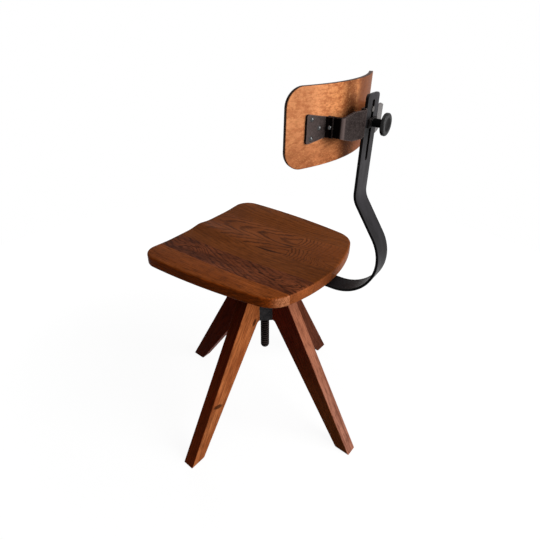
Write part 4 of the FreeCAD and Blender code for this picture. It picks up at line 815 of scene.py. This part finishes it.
# The bracket has painted shade in its recess by the panel and on its faces square to X.
bracket_finish = dark_metal(
    "brown_lacquer", (0.023, 0.017, 0.016), (0.044, 0.034, 0.032), (0.22, 0.162, 0.150),
    rough=0.5, grit_scale=380.0, grit_share=0.75, edge_wear_and_highlight=0.9, reach=0.002, specular=0.005,
    dent=0.8, corner_highlight=(STRAP_CORNER, 0.75), glance=0.7, painted_side_shade=0.3, painted_recess_shade=(0.207, 0.229, 0.35),
)
dress(bracket_finish, "backrest_bracket", "bracket_wing_left", "bracket_wing_right")
# The post's faces square to X get painted shade.
post_finish = dark_metal(
    "blued_spring_steel", (0.040, 0.037, 0.041), (0.024, 0.022, 0.023), (0.13, 0.115, 0.11),
    metallic=0.1, rough=0.4, grit_share=0.22, mottle_scale=34.0, edge_wear_and_highlight=0.5, specular=0.03,
    stretch=(1, 0.3, 0.3), fade=(0.58, 0.84, 0.48), painted_side_shade=0.35,
)
dress(post_finish, "back_spring")
hub_finish = dark_metal(
    "raw_iron", (0.024, 0.024, 0.026), (0.062, 0.060, 0.062), (0.18, 0.17, 0.17),
    rough=0.5, grit_share=0.4, grit_scale=300.0, edge_wear_and_highlight=0.8, specular=0.03, dent=0.6,
)
dress(hub_finish, "hub", "hub_cap", "seat_plate", "spindle_collar")
spindle_finish = dark_metal(
    "threaded_steel", (0.020, 0.013, 0.012), (0.030, 0.021, 0.019), (0.10, 0.072, 0.068),
    metallic=0.1, rough=0.38, grit_share=0.3, edge_wear_and_highlight=0.5, reach=0.0009, crest=0.0125,
)
dress(spindle_finish, "spindle")
fixing_finish = dark_metal(
    "worn_fixings", (0.060, 0.052, 0.050), (0.10, 0.09, 0.085), (0.30, 0.28, 0.27),
    metallic=0.4, rough=0.3, grit_share=0.25, edge_wear_and_highlight=0.6, reach=0.0008, specular=0.15,
)
dress(
    fixing_finish, "leg_bolts", "leg_bolt_washers", "hub_cap_screws", "seat_plate_screws",
    "back_spring_screws", "back_spring_washers",
)
dome_finish = dark_metal(
    "dark_domes", (0.010, 0.009, 0.009), (0.016, 0.014, 0.014), (0.30, 0.28, 0.27),
    rough=0.16, grit_share=0.2, edge_wear_and_highlight=0.2, reach=0.0006, specular=0.7, dent=0.05,
)
dress(dome_finish, "bracket_screws", "bracket_rivets")
bright_fixing = dark_metal(
    "bright_fixings", (0.050, 0.040, 0.036), (0.10, 0.09, 0.085), (0.40, 0.39, 0.38),
    metallic=0.5, rough=0.3, grit_share=0.2, edge_wear_and_highlight=0.5, reach=0.0008, specular=0.05,
)
dress(bright_fixing, "clamp_bolt", "guide_pin")
washer_finish = dark_metal(
    "rubbed_washer", (0.016, 0.013, 0.012), (0.030, 0.025, 0.024), (0.14, 0.12, 0.12),
    rough=0.4, grit_scale=300.0, grit_share=0.5, edge_wear_and_highlight=0.6, reach=0.0015,
)
dress(washer_finish, "clamp_washer")
# The knob's pale rim is a painted highlight.
knob_finish = dark_metal(
    "black_knob", (0.008, 0.008, 0.008), (0.018, 0.017, 0.017), (0.50, 0.50, 0.50),
    rough=0.3, grit_share=0.4, grit_scale=420.0, edge_wear_and_highlight=1.0, reach=0.0026, specular=0.004,
    rim=0.011,
)
dress(knob_finish, "clamp_knob")

# %% [markdown]
# ## The stage
# A studio photograph cut out on white shows no floor edge. A round floor lies
# under the chair, pale where the camera, a mirror or glass sees it and greyer
# where it only passes light on, so that it keeps the shadow but doesn't light
# the legs from below. The world is white in the same way.

# %% Floor and world
FLOOR_RADIUS = 1.7
FLOOR_SIDES = 96
FLOOR_GREY = 0.12
UNDER_CHAIR, GLOW_THERE = 0.3, 0.93
WORLD_FILL = 0.06
WHITE = (1.0, 1.0, 1.0, 1.0)


def disc(name, radius, sides):
    """Points at equal angles on a circle round the origin, filled as one face."""
    angles = np.linspace(0.0, 2 * np.pi, sides, endpoint=False)
    ring = np.stack([radius * np.cos(angles), radius * np.sin(angles), np.zeros(sides)], axis=1)
    mesh = bpy.data.meshes.new(name)
    mesh.from_pydata(ring.tolist(), [], [list(range(sides))])
    piece = bpy.data.objects.new(name, mesh)
    bpy.context.scene.collection.objects.link(piece)
    return piece


def seen_directly(tree):
    """One for camera, glossy and transmission rays, else nought."""
    path = add(tree, "ShaderNodeLightPath").outputs
    shiny = calculate(tree, "MAXIMUM", path["Is Glossy Ray"], path["Is Transmission Ray"])
    return calculate(tree, "MAXIMUM", path["Is Camera Ray"], shiny)


floor = disc("floor", FLOOR_RADIUS, FLOOR_SIDES)
floor_finish, tree, shader = new_finish("floor_paper")
shader.inputs["Base Color"].default_value = (FLOOR_GREY, FLOOR_GREY, FLOOR_GREY, 1.0)
shader.inputs["Roughness"].default_value = 1.0
shader.inputs["Specular IOR Level"].default_value = 0.0
shader.inputs["Emission Color"].default_value = WHITE
from_middle = calculate_vector(tree, "LENGTH", add(tree, "ShaderNodeTexCoord").outputs["Object"])
glow = step_between(tree, from_middle, UNDER_CHAIR, FLOOR_RADIUS, GLOW_THERE, 1.0)
tree.links.new(times(tree, seen_directly(tree), glow), shader.inputs["Emission Strength"])
floor.data.materials.append(floor_finish)

world = bpy.data.worlds.new("studio")
bpy.context.scene.world = world
world.use_nodes = True
tree = world.node_tree
background = tree.nodes["Background"]
background.inputs["Color"].default_value = WHITE
strength = blend_numbers(tree, seen_directly(tree), WORLD_FILL, 1.0)
tree.links.new(strength, background.inputs["Strength"])
print("world fill", WORLD_FILL)

# %% [markdown]
# ## Lamps
# One broad lamp behind the chair, a little to the sitter's right, lights the
# faces that the photo shows bright and leaves the others dark. Its power follows
# from its distance: a lamp of pi squared times the distance squared, in watts,
# makes a square-on surface as bright as its own colour is written. A faint one
# overhead opens the shadows. A weak lamp on the far side, level with the seat so
# that it doesn't strike its top, lights the chair's front, which would be black
# from there. It leaves no gleam on the varnish.


# %% Lamps
def lamp(name, direction, distance, size, level, aim=(0.0, 0.05, 0.5)):
    """A square lamp that lights a square-on surface to a level of its colour."""
    data = bpy.data.lights.new(name, "AREA")
    data.shape = "SQUARE"
    data.size = size
    data.energy = level * (math.pi * distance) ** 2
    piece = bpy.data.objects.new(name, data)
    bpy.context.scene.collection.objects.link(piece)
    away = Vector(direction).normalized()
    place = Vector(aim) + away * distance
    piece.matrix_world = Matrix.Translation(place) @ away.to_track_quat("Z", "Y").to_matrix().to_4x4()
    print(name, round(data.energy, 1), "W")
    return piece


lamp("key", (-0.125, 0.89, 0.438), 3.0, 2.3, 1.15)
lamp("overhead", (0.1, -0.1, 1.0), 2.6, 1.6, 0.10)
front_fill = lamp("front_fill", (-0.58, -0.81, -0.02), 3.2, 1.4, 0.50)
front_fill.visible_glossy = False

# %% [markdown]
# ## The end
# Colours are shown plainly, with the standard view transform.

# %% View transform
bpy.context.scene.view_settings.view_transform = "Standard"
